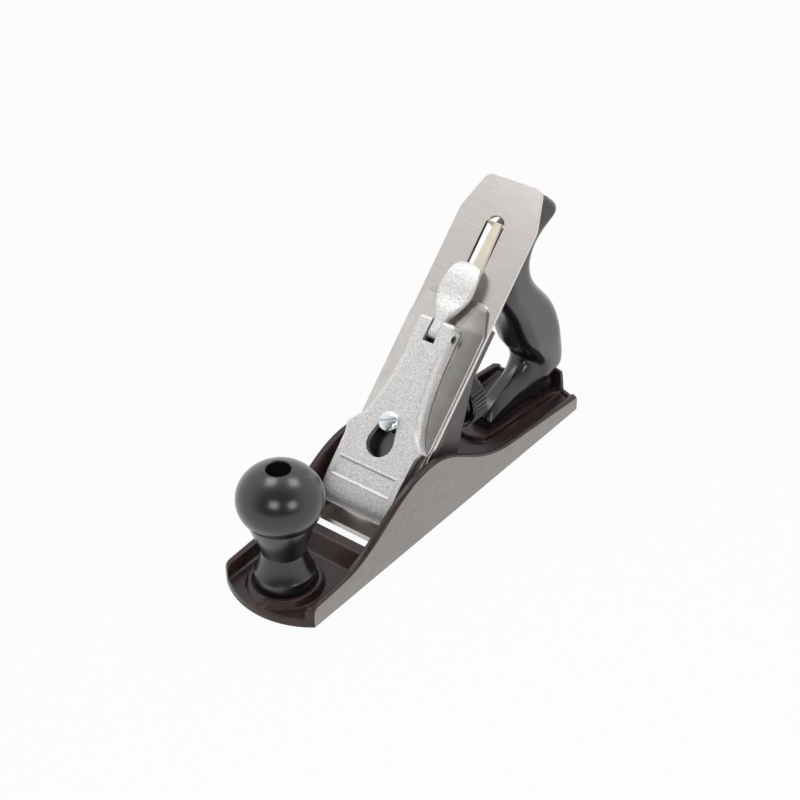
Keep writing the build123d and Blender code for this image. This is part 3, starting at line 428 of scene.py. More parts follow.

# Frog: the sloped casting that the irons lie on, screwed to the seat of the bed and enamelled like it.
# Its upper face is machined. Only its side shows beside the irons.
# The frog's paint is paler than the bed's enamel, partly as painted light for its lit side.
FROG_EDGE, FROG_PAINT, FROG_PAINT_PALE = 0.5, "#54484a", "#675c5e"


def softened(name, node, width, finishes, hard=30.0):
    """A copy of a CAD node with its flat faces whole and its hard edges rounded a little."""
    made = cad_copy(name, node)
    shape = bmesh.new()
    shape.from_mesh(made.data)
    bmesh.ops.dissolve_limit(
        shape, angle_limit=radians(0.5), verts=shape.verts, edges=shape.edges, use_dissolve_boundaries=False
    )
    hard_edges = [e for e in shape.edges if len(e.link_faces) == 2 and e.calc_face_angle(0) > radians(hard)]
    bmesh.ops.bevel(
        shape, geom=hard_edges, offset=width * MM, segments=2, profile=0.5, affect="EDGES", clamp_overlap=True
    )
    bmesh.ops.triangulate(shape, faces=[f for f in shape.faces if len(f.verts) > 4])
    shape.to_mesh(made.data)
    shape.free()
    for each in finishes:
        made.data.materials.append(each)
    return tidy(made, hard=18)


# Frog paint: a brown grey, duller than the enamel of the bed. It is also paler than that enamel, partly as painted
# light for its side, which stands lit beside the irons.
frog_paint, tree, shader, place = finish("brown_grey_frog_paint", Roughness=0.42)
cloud = patches(tree, place, ENAMEL_PATCH, 4.0)
two_tone(tree, shader.inputs["Base Color"], cloud, FROG_PAINT, FROG_PAINT_PALE)
frog = softened("frog_casting", "frog", FROG_EDGE, [frog_paint])
fasten(frog, "frog", "frog_paint", "frog")

# Cutting iron: a flat steel plate with a long slot and clipped top corners, ground all over.
# It lies on the frog with its bevel underneath, and its edge stands in the mouth.
BLADE_X, ROOT_HALF = -60.27, sqrt(0.5)
IRON_T, IRON_HALF, IRON_EDGE, IRON_TOP, IRON_CLIP, IRON_TOP_HALF = 2.4, 24.8, 7.15, 215.0, 192.7, 17.7
IRON_SLOT_HALF, IRON_SLOT_LOW, IRON_SLOT_TOP = 5.9, 33.0, 194.2
IRON_BEVEL_RUN, IRON_CORNER, IRON_SHOULDER, IRON_CHAMFER = 4.71, 5.6, 14.0, 0.25
STEEL, STEEL_LINE, STEEL_ACROSS, STEEL_ALONG = "#ded8d5", "#d6cfcb", 0.8, 16.0


def up_slope(s, y, off):
    """A place given up the slope, across it and out of it, in the frame of the whole plane."""
    return (BLADE_X + (s - off) * ROOT_HALF, y, (s + off) * ROOT_HALF)


def plate(name, outline, holes, low, high, edge, finishes, bevel=None):
    """A flat plate with holes, lying along the slope, its edges broken and its lower end ground to a bevel."""
    shape = bmesh.new()
    rims = []
    for loop in [outline] + holes:
        corners = [shape.verts.new((a, b, low)) for a, b in loop]
        rims += [shape.edges.new((corners[i], corners[(i + 1) % len(loop)])) for i in range(len(loop))]
    bmesh.ops.triangle_fill(shape, use_beauty=True, edges=rims)
    raised = bmesh.ops.extrude_face_region(shape, geom=list(shape.faces))["geom"]
    for v in raised:
        if isinstance(v, bmesh.types.BMVert):
            v.co.z = high
    bmesh.ops.recalc_face_normals(shape, faces=shape.faces)
    if bevel:
        for v in shape.verts:
            if v.co.z < (low + high) / 2 and v.co.x < bevel[0]:
                v.co.x += bevel[1]
    level = [e for e in shape.edges if e.verts[0].co.z == e.verts[1].co.z]
    hard_edges = [e for e in level if e.calc_face_angle(0) > radians(30)]
    bmesh.ops.bevel(shape, geom=hard_edges, offset=edge, segments=2, profile=0.5, affect="EDGES", clamp_overlap=True)
    for v in shape.verts:
        v.co = Vector(up_slope(*v.co)) * MM
    made = bpy.data.objects.new(name, bpy.data.meshes.new(name))
    shape.to_mesh(made.data)
    shape.free()
    for each in finishes:
        made.data.materials.append(each)
    bpy.context.scene.collection.objects.link(made)
    return tidy(made, hard=15)


def rounded_corner(before, corner, after, radius, count=6):
    """Points that round one corner of an outline."""
    a, b = Vector(before) - Vector(corner), Vector(after) - Vector(corner)
    a.normalize()
    b.normalize()
    half = a.angle(b) / 2
    reach = radius / (sin(half) / cos(half))
    centre = Vector(corner) + (a + b).normalized() * (radius / sin(half))
    first, last = Vector(corner) + a * reach - centre, Vector(corner) + b * reach - centre
    turn = first.angle_signed(last)
    rounded = []
    for i in range(count + 1):
        spot = centre + Matrix.Rotation(-turn * i / count, 2) @ first
        rounded.append((spot.x, spot.y))
    return rounded


# Ground steel: bright and warm, with fine lines running across the blade.
steel, tree, shader, place = finish("ground_tool_steel", Metallic=1.0, Roughness=0.22)
grind = grind_lines(tree, place, (STEEL_ACROSS, STEEL_ALONG, STEEL_ACROSS))
two_tone(tree, shader.inputs["Base Color"], grind, STEEL_LINE, STEEL, low=0.3)
roughen(tree, shader, grind, 0.03, 0.04)

corner = rounded_corner((IRON_CLIP, IRON_HALF), (IRON_TOP, IRON_TOP_HALF), (IRON_TOP, -IRON_TOP_HALF), IRON_CORNER)
shoulder = rounded_corner((IRON_EDGE, IRON_HALF), (IRON_CLIP, IRON_HALF), (IRON_TOP, IRON_TOP_HALF), IRON_SHOULDER)
half_outline = [(IRON_EDGE, IRON_HALF)] + shoulder + corner
outline = half_outline + [(s, -y) for s, y in reversed(half_outline)]
ends = arc(IRON_SLOT_TOP - IRON_SLOT_HALF, 0, IRON_SLOT_HALF, IRON_SLOT_HALF, 90, -90, 20)
ends += arc(IRON_SLOT_LOW + IRON_SLOT_HALF, 0, IRON_SLOT_HALF, IRON_SLOT_HALF, -90, -270, 20)
bevel = (IRON_EDGE + 1, IRON_BEVEL_RUN)
iron = plate("cutting_iron_blade", outline, [ends], -IRON_T, 0, IRON_CHAMFER, [steel], bevel)
fasten(iron, "irons", "ground_steel", "cutting_iron")

# Cap iron: a thinner steel plate screwed on the front of the iron, with an arched lip that breaks the shaving.
# It is dull where it was rolled, and the lever cap presses on it.
CAP_T, CAP_HALF, CAP_EDGE, CAP_FLAT, CAP_TOP, CAP_CLIP, CAP_TOP_HALF = 2.0, 24.2, 9.3, 26.0, 146.4, 130.0, 18.5
CAP_HUMP, CAP_BREAST_S, CAP_BREAST, CAP_LIP_T, CAP_CORNER, CAP_ROUND = 1.4, 17.3, 3.65, 0.15, 4.0, 0.3
CAP_SLOT_LOW, CAP_SLOT_HIGH, CAP_SLOT_R, CAP_HOLE_S, CAP_HOLE_R = 69.0, 76.5, 4.5, 44.0, 4.05
FINGER_LOW, FINGER_HIGH, FINGER_HALF = 88.5, 93.5, 5.2
CAP_STEEL, CAP_STEEL_DULL, CAP_MOTTLE = "#d2cfcc", "#c3bfbc", 9.0
# Painted shade under the keyhole: its dark grey, its place up the slope, and the radii where it starts and stops
# fading out.
CAP_KEYHOLE_SHADE, KEYHOLE_SHADE_S, KEYHOLE_SHADE_R, KEYHOLE_SHADE_END = "#6a6666", 59.0, 13.0, 19.0

# Rolled steel: a soft grey sheen with a faint mottle, and a painted shade under the keyhole, where shadow falls into
# the hole.
cap_steel, tree, shader, place = finish("rolled_cap_steel", Metallic=1.0, Roughness=0.24)
# Painted shade: the steel turns dark grey towards a spot under the keyhole, standing in for the shadow there.
keyhole_shade_at = tuple(c * MM for c in up_slope(KEYHOLE_SHADE_S, 0.0, CAP_T))
away = add(tree, "ShaderNodeVectorMath", {0: place, 1: keyhole_shade_at}, operation="DISTANCE").outputs["Value"]
fade = {"Value": away, "From Min": KEYHOLE_SHADE_R * MM, "From Max": KEYHOLE_SHADE_END * MM}
clear = add(tree, "ShaderNodeMapRange", fade).outputs[0]
keyhole_shaded = add(tree, "ShaderNodeMix", {0: clear, 6: linear(CAP_KEYHOLE_SHADE)}, data_type="RGBA")
two_tone(tree, keyhole_shaded.inputs[7], patches(tree, place, CAP_MOTTLE, 5.0), CAP_STEEL_DULL, CAP_STEEL, low=0.3)
tree.links.new(keyhole_shaded.outputs[2], shader.inputs["Base Color"])


def skin(rows):
    """Points and faces of closed sections joined row by row, with both ends closed."""
    count = len(rows[0])
    faces = [tuple(reversed(range(count)))]
    for i in range(len(rows) - 1):
        for j in range(count):
            n = (j + 1) % count
            faces.append((i * count + j, i * count + n, (i + 1) * count + n, (i + 1) * count + j))
    last = (len(rows) - 1) * count
    faces.append(tuple(range(last, last + count)))
    return [p for row in rows for p in row], faces


def cap_half_width(s):
    """Half the width of the cap iron, narrowing to its clipped and rounded top."""
    if s < CAP_CLIP:
        return CAP_HALF
    half = CAP_HALF - (s - CAP_CLIP) / (CAP_TOP - CAP_CLIP) * (CAP_HALF - CAP_TOP_HALF)
    return half - rounding(s - CAP_TOP + CAP_CORNER, CAP_CORNER)


rows = []
stations = [CAP_EDGE + (CAP_FLAT - CAP_EDGE) * i / 24 for i in range(25)]
stations += [60.0, 95.0, CAP_CLIP - 2, CAP_CLIP - 1, CAP_CLIP]
stations += [CAP_CLIP + i for i in range(1, 13)] + [CAP_TOP - CAP_CORNER * (1 - sin(pi / 2 * i / 8)) for i in range(9)]
for s in stations:
    bend = sin(pi * min(1.0, max(0.0, (s - CAP_EDGE) / (CAP_FLAT - CAP_EDGE))))
    low = CAP_HUMP * bend
    rise = (s - CAP_EDGE) / (CAP_BREAST_S - CAP_EDGE)
    fall = step((s - CAP_BREAST_S) / (CAP_FLAT - CAP_BREAST_S))
    high = CAP_LIP_T + (CAP_BREAST - CAP_LIP_T) * min(1.0, rise) - (CAP_BREAST - CAP_T) * fall
    half, r = cap_half_width(s), min(CAP_ROUND, 0.4 * (high - low))
    section = [(-half, low), (-half, high - r), (-half + 0.3 * r, high - 0.3 * r), (-half + r, high)]
    section += [(half - r, high), (half - 0.3 * r, high - 0.3 * r), (half, high - r), (half, low)]
    rows.append([up_slope(s, y, off) for y, off in section])
cap_iron = tidy(mesh_object("cap_iron_plate", *skin(rows), [cap_steel]), hard=25)
screw_slot = arc(CAP_SLOT_HIGH, 0, CAP_SLOT_R, CAP_SLOT_R, 90, -90, 14)
screw_slot += arc(CAP_SLOT_LOW, 0, CAP_SLOT_R, CAP_SLOT_R, -90, -270, 14)
finger = [(FINGER_LOW, -FINGER_HALF), (FINGER_HIGH, -FINGER_HALF)]
finger += [(s, -y) for s, y in reversed(finger)]
for hole in (screw_slot, finger, arc(CAP_HOLE_S, 0, CAP_HOLE_R, CAP_HOLE_R, 0, 350, 35)):
    combine(cap_iron, *prism(hole, -1, 6, up_slope))
fasten(tidy(cap_iron, hard=25), "irons", "cap_steel", "cap_iron")

# Lever cap: a bright zinc casting with ears, a keyhole and a sunk panel, which clamps the irons down.
# Above its ears a skirt runs down each side. Its face is bare metal with a coarse, sparkling grain.
LIP, EAR, NECK_END, FACE, SKIRT_LOW, SKIRT_OFF = 17.2, 61.0, 129.2, 11.3, 60.0, 2.6
LIP_HALF, EAR_HALF, NECK_HALF, WAIST_HALF, END_HALF = 22.8, 24.2, 20.0, 10.8, 11.6
ARCH_OFF, LIP_OFF, LIP_T, SKIRT_T, ROOF_OFF = 7.6, 3.75, 0.9, 3.0, 7.9
PANEL_LOW, PANEL_HIGH, PANEL_HALF, PANEL_DEEP, PANEL_SLOPE, PANEL_RIM = 32.0, 42.0, 18.6, 0.75, 0.7, 0.2
KEY_S, KEY_R, CAP_SCREW_S, KEY_NECK_R = 57.0, 8.2, 69.0, 5.0
CAM_S, CAM_OFF, PIN_HOLE_R, CAM_SLOT_LOW, CAM_SLOT_HALF = 122.0, 7.0, 2.4, 115.8, 3.6
SPRING_S, SPRING_BOSS_R, SPRING_BOSS_LOW, SPRING_BOSS_HIGH = 101.0, 3.4, 3.15, 8.2
END_CORNER, END_ROLL, CUT_OFF_LOW, CUT_OFF_HIGH = 3.0, 2.2, 1.0, 15.0
EDGE_SWELL, SWELL_END, LUMPS = 2.8, 106.0, 0.22
# Half width of the cap, height of its face and height of its underside, as curves from the lip to the end.
NECK_LINE = [
    [(LIP, LIP_HALF), (EAR - 8, LIP_HALF)],
    [(EAR - 8, LIP_HALF), (EAR - 4, LIP_HALF), (EAR - 4, EAR_HALF), (EAR, EAR_HALF)],
    [(EAR, EAR_HALF), (EAR + 5, NECK_HALF), (EAR + 15, WAIST_HALF), (NECK_END, END_HALF)],
]
FACE_LINE = [
    [(LIP, LIP_OFF + LIP_T), (20.9, 10.4), (28.2, FACE), (36.0, FACE)],
    [(36.0, FACE), (NECK_END, FACE)],
]
UNDER_LINE = [
    [(LIP, LIP_OFF), (32.0, LIP_OFF)],
    [(32.0, LIP_OFF), (44.0, LIP_OFF), (44.0, ARCH_OFF), (SKIRT_LOW, ARCH_OFF)],
    [(SKIRT_LOW, ROOF_OFF), (NECK_END, ROOF_OFF)],
]
ZINC, ZINC_DARK, ZINC_GRAIN, ZINC_PIT = "#eeedec", "#bebdbc", 0.9, 1.7

# Cast zinc: silvery and rough, each grain catching the light on its own.
zinc, tree, shader, place = finish("bright_cast_zinc", Metallic=1.0, Roughness=0.5)
grain = patches(tree, place, ZINC_GRAIN, 3.0, rough=0.7)
pits = add(tree, "ShaderNodeTexVoronoi", {"Vector": place, "Scale": 1 / (ZINC_PIT * MM)}).outputs["Distance"]
two_tone(tree, shader.inputs["Base Color"], grain, ZINC_DARK, ZINC, low=0.3, high=0.6)
coarse = add(tree, "ShaderNodeMath", {0: grain, 1: pits}, operation="ADD").outputs["Value"]
roughen(tree, shader, coarse, 0.5, 0.16)


def panel_sink(s, y):
    """Depth of the sunk panel, with sloping sides and a low raised frame round it."""
    inside = min(s - PANEL_LOW, PANEL_HIGH - s, PANEL_HALF - abs(y))
    return PANEL_DEEP * step(inside / PANEL_SLOPE) - PANEL_RIM * max(0.0, 1 - ((inside + 0.6) / 0.65) ** 2)


rows = []
count = 180
stations = [LIP + (NECK_END - LIP) * i / count for i in range(count)]
stations += [SKIRT_LOW - 0.02, SKIRT_LOW + 0.02]
stations += [PANEL_LOW + i for i in (-1.4, -0.8, -0.5, -0.2, 0.2, 0.5, 0.8)]
stations += [PANEL_HIGH + i for i in (-0.7, -0.4, 0.0, 0.3, 0.6, 1.4)]
stations += [NECK_END - 0.3, NECK_END - 0.1, NECK_END - 0.01]
for s in sorted(stations):
    half = line_height(s, NECK_LINE) - rounding(s - NECK_END + END_CORNER, END_CORNER)
    high = line_height(s, FACE_LINE) - 0.85 * rounding(s - NECK_END + END_ROLL, END_ROLL)
    under = line_height(s, UNDER_LINE)
    wobble = noise.noise(Vector((s * 0.35, 3.0, 1.0))), noise.noise(Vector((s * 0.35, 9.0, 5.0)))
    foot = SKIRT_OFF if s > SKIRT_LOW else under
    swell = EDGE_SWELL * step((s - SKIRT_LOW - 2) / 8) * (1 - step((s - SWELL_END) / 12))
    soft = min(0.3 + 0.6 * step((s - LIP) / 10) + swell, 0.48 * (high - foot))
    inner = max(half - SKIRT_T, 1.0)
    section = []
    for side in (-1, 1):
        lumpy = soft * (1 + LUMPS * wobble[(side + 1) // 2])
        wall = [(side * half, foot), (side * half, (foot + high - lumpy) / 2)]
        wall += arc(side * (half - lumpy), high - lumpy, side * lumpy, lumpy, 0, 90, 5)
        section += wall if side < 0 else []
    steps = 76
    flat = half - soft * 1.2
    face = [-flat + 2 * flat * i / steps for i in range(1, steps)]
    section += [(y, high - panel_sink(s, y)) for y in face] + list(reversed(wall))
    section += [(inner, foot), (inner, under), (-inner, under), (-inner, foot)]
    rows.append([up_slope(s, y, off) for y, off in section])
lever_cap = tidy(mesh_object("lever_cap_casting", *skin(rows), [zinc]), hard=40, merge=0.004)
lean = asin((KEY_R - KEY_NECK_R) / (CAP_SCREW_S - KEY_S)) * 180 / pi
key = arc(KEY_S, 0, KEY_R, KEY_R, 90 - lean, 270 + lean, 44)
key += arc(CAP_SCREW_S, 0, KEY_NECK_R, KEY_NECK_R, lean - 90, 90 - lean, 18)
cam_slot = [(CAM_SLOT_LOW, -CAM_SLOT_HALF), (NECK_END + 1.8, -CAM_SLOT_HALF)]
cam_slot += [(s, -y) for s, y in reversed(cam_slot)]
for hole in (key, cam_slot):
    combine(lever_cap, *prism(hole, CUT_OFF_LOW, CUT_OFF_HIGH, up_slope))


def across_cap(s, off, y):
    """A place on a hole that runs across the slope."""
    return up_slope(s, y, off)


def at_spring(x, y, z):
    """A place about the rivet of the leaf spring."""
    return up_slope(SPRING_S + x, y, z)


combine(lever_cap, *prism(arc(CAM_S, CAM_OFF, PIN_HOLE_R, PIN_HOLE_R, 0, 345, 23), -20, 20, across_cap))
boss = [(0.01, SPRING_BOSS_LOW), (SPRING_BOSS_R, SPRING_BOSS_LOW)]
boss += [(r, SPRING_BOSS_HIGH) for r, _ in reversed(boss)]
combine(lever_cap, *turned_piece(boss, 32, at_spring), "UNION")
fasten(tidy(lever_cap, hard=40), "lever_cap", "bright_casting", "lever_cap")

# Cam lever: a spade-shaped thumb lever cast in the same bright zinc, turning on a pin through the cap.
# Pushed down, its barrel bears on the leaf spring and locks the cap on the irons.
BARREL_R, CAM_HALF, CAM_NECK, CAM_PAD, CAM_END, PAD_HALF = 3.6, 3.25, 128.5, 148.0, 164.0, 10.6
NECK_OFF, PAD_OFF, TIP_OFF, CAM_LOW, PAD_LOW, TIP_LOW = 10.2, 8.4, 5.0, 5.75, 5.8, 3.7
TIP_BEND, TIP_RUN, CAM_BORE, PAD_CROWN = 161.4, 2.3, 2.05, 0.25
# Upper line of the lever past its barrel, and half its width: neck, dip to the pad, and rounded, drooping end.
CAM_LINE = [
    [(CAM_S, CAM_OFF + BARREL_R), (CAM_NECK, NECK_OFF)],
    [(CAM_NECK, NECK_OFF), (138.25, NECK_OFF), (138.25, PAD_OFF), (CAM_PAD, PAD_OFF)],
    [(CAM_PAD, PAD_OFF), (TIP_BEND, PAD_OFF), (CAM_END + 1, TIP_OFF)],
]
SPADE_LINE = [
    [(CAM_S - BARREL_R, CAM_HALF), (CAM_NECK, CAM_HALF)],
    [(CAM_NECK, CAM_HALF), (134.0, CAM_HALF), (139.0, PAD_HALF), (CAM_PAD, PAD_HALF)],
    [(CAM_PAD, PAD_HALF), (CAM_END, PAD_HALF), (CAM_END, PAD_HALF / 2), (CAM_END, 0)],
]


def cam_lines(s):
    """Upper and lower line of the cam lever."""
    reach = sqrt(max(0.0, BARREL_R**2 - (s - CAM_S) ** 2))
    if s < CAM_S:
        return CAM_OFF + reach, CAM_OFF - reach
    high = line_height(s, CAM_LINE)
    if s > CAM_PAD:
        return high, bezier_height(s, [(CAM_PAD, PAD_LOW), (TIP_BEND, PAD_LOW), (CAM_END + 1, TIP_LOW)])
    return high, min(CAM_LOW, CAM_OFF - reach) if s < CAM_S + BARREL_R else CAM_LOW


rows = []
stations = [CAM_S - BARREL_R * cos(pi / 2 * i / 10) for i in range(10)]
stations += [CAM_S + i * 0.5 for i in range(84) if CAM_S + i * 0.5 < CAM_END - TIP_RUN]
stations += [CAM_END - TIP_RUN * (1 - sin(pi / 2 * i / 14)) for i in range(15)]
for s in stations:
    high, low = cam_lines(s)
    half = max(0.2, line_height(s, SPADE_LINE))
    if high - low < 0.06:
        high, low = high + 0.03, low - 0.03
    soft = min(0.9, 0.45 * (high - low), 0.4 * half)
    crown = PAD_CROWN * step((s - CAM_NECK) / 10)
    flat = half - soft
    section = arc(-flat, low + soft, soft, soft, 270, 180, 4) + arc(-flat, high - soft, soft, soft, 180, 90, 4)
    for i in range(1, 12):
        y = -flat + 2 * flat * i / 12
        section.append((y, high + crown * (1 - (y / max(flat, 0.1)) ** 2)))
    section += arc(flat, high - soft, soft, soft, 90, 0, 4) + arc(flat, low + soft, soft, soft, 0, -90, 4)
    rows.append([up_slope(s, y, off) for y, off in section])
cam = tidy(mesh_object("cam_lever_spade", *skin(rows), [zinc]), hard=50, merge=0.004)
combine(cam, *prism(arc(CAM_S, CAM_OFF, CAM_BORE, CAM_BORE, 0, 345, 23), -12, 12, across_cap))
fasten(tidy(cam, hard=50), "cam_lever", "bright_casting", "cam_lever")

# Lever cap screw: a slotted pan-head screw, zinc plated, standing in the frog and gripping the lever cap.
# The cap slides off it through the keyhole.
CAP_HEAD_R, CAP_HEAD_H, CAP_HEAD_LOW, CAP_STEM_R, CAP_STEM_LOW = 5.8, 3.4, 11.35, 3.5, -8.95
DRIVER_TURN, DRIVER_HALF, DRIVER_DEEP = -68.0, 0.6, 1.5
PLATING, PLATING_BLUE = "#eef3f6", "#dde5ea"

# Bright zinc plating: silver with a cold blue cast.
plating, tree, shader, place = finish("bright_zinc_plating", Metallic=1.0, Roughness=0.17)
cloud = patches(tree, place, 2.5, 2.0)
two_tone(tree, shader.inputs["Base Color"], cloud, PLATING_BLUE, PLATING, low=0.2, high=0.8)


def about_screw(x, y, z):
    """A place about the lever cap screw, which stands square to the slope."""
    return up_slope(CAP_SCREW_S + x, y, z)


head_top = CAP_HEAD_LOW + CAP_HEAD_H
outline = [(0.01, CAP_STEM_LOW), (CAP_STEM_R, CAP_STEM_LOW), (CAP_STEM_R, CAP_HEAD_LOW)]
outline += [(CAP_HEAD_R - 0.2, CAP_HEAD_LOW), (CAP_HEAD_R, CAP_HEAD_LOW + 0.25)]
outline += arc(CAP_HEAD_R - 1.6, CAP_HEAD_LOW + 1.1, 1.6, 1.7, 0, 70, 8)
outline += [(r, head_top - 0.6 * (r / 4.7) ** 2) for r in (4.0, 3.0, 2.0, 1.0, 0.01)]
cap_screw = mesh_object("lever_cap_screw_head", *turned_piece(outline, 56, about_screw), [plating])
tidy(cap_screw, hard=35)
turn = Matrix.Rotation(radians(DRIVER_TURN), 2)
slot = [(-8, -DRIVER_HALF), (8, -DRIVER_HALF), (8, DRIVER_HALF), (-8, DRIVER_HALF)]
slot = [tuple(turn @ Vector(p)) for p in slot]
combine(cap_screw, *prism(slot, head_top - DRIVER_DEEP, head_top + 2, about_screw))
fasten(tidy(cap_screw, hard=35), "frog", "zinc_plate", "lever_cap_screw")

# Lateral lever: a stamped plate that swings the iron sideways, yellow zinc plated, with a folded thumb tab.
# It turns on a rivet in the frog, and its disc sits in the slot of the iron.
LATERAL_EDGE, YELLOW, YELLOW_PALE = 0.3, "#e2d7c2", "#e8dfd3"

# Yellow passivated zinc: pale straw with cloudy patches.
yellow, tree, shader, place = finish("yellow_passivated_zinc", Metallic=0.8, Roughness=0.4)
two_tone(tree, shader.inputs["Base Color"], patches(tree, place, 6.0, 3.0), YELLOW, YELLOW_PALE)
lateral = softened("lateral_lever_plate", "lateral_lever", LATERAL_EDGE, [yellow])
fasten(lateral, "lateral_lever", "yellow_zinc", "lateral_lever")

# Depth wheel: a black wheel with ribs along its rim for the finger, running on the bush behind the frog.
# Turning it walks the bush along the stud, and the yoke carries that to the cap iron.
WHEEL_Z, WHEEL_R, WHEEL_FRONT, WHEEL_WIDE, WHEEL_BORE = 39.2, 16.6, 35.0, 12.5, 6.35
RIBS, RIB_WIDE, RIB_DEEP = 40, 1.5, 0.9


def rib_wheel(name, core, rib, turns, finish_on_it):
    """Ribs set round a wheel by geometry nodes, joined to its core as one plain mesh."""
    tree = bpy.data.node_groups.new(name, "GeometryNodeTree")
    for label, kind in (("Core", "Object"), ("Rib", "Object"), ("Ribs", "Int"), ("Radius", "Float")):
        tree.interface.new_socket(label, in_out="INPUT", socket_type="NodeSocket" + kind)
    tree.interface.new_socket("Geometry", in_out="OUTPUT", socket_type="NodeSocketGeometry")
    given = add(tree, "NodeGroupInput").outputs
    body = add(tree, "GeometryNodeObjectInfo", {"Object": given["Core"]})
    bar = add(tree, "GeometryNodeObjectInfo", {"Object": given["Rib"]})
    ring = add(tree, "GeometryNodeMeshCircle", {"Vertices": given["Ribs"], "Radius": given["Radius"]})
    index = add(tree, "GeometryNodeInputIndex")
    share = add(tree, "ShaderNodeMath", {0: index.outputs[0], 1: given["Ribs"]}, operation="DIVIDE")
    angle = add(tree, "ShaderNodeMath", {0: share.outputs[0], 1: 2 * pi}, operation="MULTIPLY")
    turn = add(tree, "ShaderNodeCombineXYZ", {"Z": angle.outputs[0]})
    spots = {"Points": ring.outputs["Mesh"], "Instance": bar.outputs["Geometry"], "Rotation": turn.outputs[0]}
    ribs = add(tree, "GeometryNodeInstanceOnPoints", spots)
    whole = add(tree, "GeometryNodeJoinGeometry", {"Geometry": ribs.outputs["Instances"]})
    tree.links.new(body.outputs["Geometry"], whole.inputs["Geometry"])
    real = add(tree, "GeometryNodeRealizeInstances", {"Geometry": whole.outputs["Geometry"]})
    black = add(tree, "GeometryNodeSetMaterial", {"Geometry": real.outputs["Geometry"], "Material": finish_on_it})
    add(tree, "NodeGroupOutput", {"Geometry": black.outputs["Geometry"]})
    made = mesh_object(name, [(0, 0, 0)], [], [])
    change = made.modifiers.new("ribs", "NODES")
    change.node_group = tree
    values = {"Core": core, "Rib": rib, "Ribs": turns[0], "Radius": turns[1] * MM}
    for item in tree.interface.items_tree:
        if item.in_out == "INPUT":
            change[item.identifier] = values[item.name]
    settle(made)
    return made


def upright(x, y, z):
    """A place on the wheel before it is laid on its stud."""
    return (x, y, z)


cheek = [(WHEEL_BORE, 0), (11.5, 0), (12.2, 0.9), (14.2, 0.9), (15.0, 0.2), (WHEEL_R - RIB_DEEP, 1.0)]
outline = cheek + [(r, WHEEL_WIDE - z) for r, z in reversed(cheek)]
core = tidy(mesh_object("wheel_core", *turned_piece(outline, 80, upright), [plastic]), hard=35)
low, side = -RIB_DEEP - 0.2, RIB_WIDE / 2
rib_end = [(0.7, 0.55), (1.3, 0.1), (1.7, 0.0)]
rib_rows = []
for z, inset in rib_end + [(WHEEL_WIDE - z, inset) for z, inset in reversed(rib_end)]:
    section = [(low, -side), (-0.45 - inset, -side + 0.1), (-inset, -0.25)]
    section += [(x, -y) for x, y in reversed(section)]
    rib_rows.append([(x, y, z) for x, y in section])
rib = tidy(mesh_object("wheel_rib", *skin(rib_rows), [plastic]), hard=50)
wheel = rib_wheel("depth_wheel_ribbed", core, rib, (RIBS, WHEEL_R), plastic)
wheel.data.transform(Matrix.Translation((WHEEL_FRONT * MM, 0, WHEEL_Z * MM)) @ Matrix.Rotation(pi / 2, 4, "Y"))
for spare in (core, rib):
    bpy.data.objects.remove(spare)
fasten(tidy(wheel, hard=35), "wheel", "black_plastic", "depth_wheel")

# Small steel and brass parts: studs, nuts, pins, rivets, spring, yoke, bush, washers and screws.
# They are turned, stamped or rolled from plain stock, and stay mostly out of sight.
BRASS, BRASS_DARK, OILED, OILED_PALE = "#b8975a", "#9c7d45", "#5b5b5e", "#6e6e71"

# Turned brass: warm yellow, a little dulled by handling.
brass, tree, shader, place = finish("turned_brass", Metallic=1.0, Roughness=0.32)
two_tone(tree, shader.inputs["Base Color"], patches(tree, place, 4.0, 3.0), BRASS_DARK, BRASS)

# Oiled steel: dark grey with a dull sheen.
oiled, tree, shader, place = finish("oiled_steel", Metallic=1.0, Roughness=0.38)
two_tone(tree, shader.inputs["Base Color"], patches(tree, place, 3.0, 3.0), OILED, OILED_PALE)

brass_parts = ["depth_bush", "knob_nut", "tote_nut"]
steel_parts = ["knob_stud", "tote_stud", "depth_stud", "yoke", "yoke_pin", "lateral_rivet", "lateral_disc"]
steel_parts += ["frog_screws", "frog_washers", "cap_iron_screw", "cap_spring", "spring_rivet"]
for each, nodes in ((brass, brass_parts), (oiled, steel_parts)):
    for node in nodes:
        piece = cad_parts[node]
        piece.data.materials.clear()
        piece.data.materials.append(each)

# Cam pin: a rolled spring pin, a tube with an open seam, pressed through the skirts of the lever cap.
# Its ends lie a little below the skirts, so that each shows as a dark ring.
PIN_R, PIN_BORE, PIN_HALF, PIN_SEAM = 2.0, 1.2, 10.9, 0.7
outline = [(PIN_BORE, -PIN_HALF), (PIN_R - 0.15, -PIN_HALF), (PIN_R, -PIN_HALF + 0.3)]
outline += [(r, -h) for r, h in reversed(outline)]


def about_pin(x, y, z):
    """A place about the cam pin, which lies across the slope."""
    return up_slope(CAM_S + x, z, CAM_OFF + y)


pin = tidy(mesh_object("cam_spring_pin", *turned_piece(outline, 40, about_pin), [oiled]), hard=35)
seam = [(0.3, -PIN_SEAM / 2), (4, -PIN_SEAM / 2), (4, PIN_SEAM / 2), (0.3, PIN_SEAM / 2)]
combine(pin, *prism(seam, -PIN_HALF - 1, PIN_HALF + 1, about_pin))
fasten(tidy(pin, hard=35), "lever_cap", "dark_steel", "cam_pin")

# Studio: a pale paper floor, a white surround and four soft square lamps, two above and two in front.
# The camera stands where the photograph was taken from.
CAMERA_AT, YAW, PITCH, ROLL, LENS = (-588.3, -457.8, 578.6), 51.61, 34.83, -0.74, 76.644
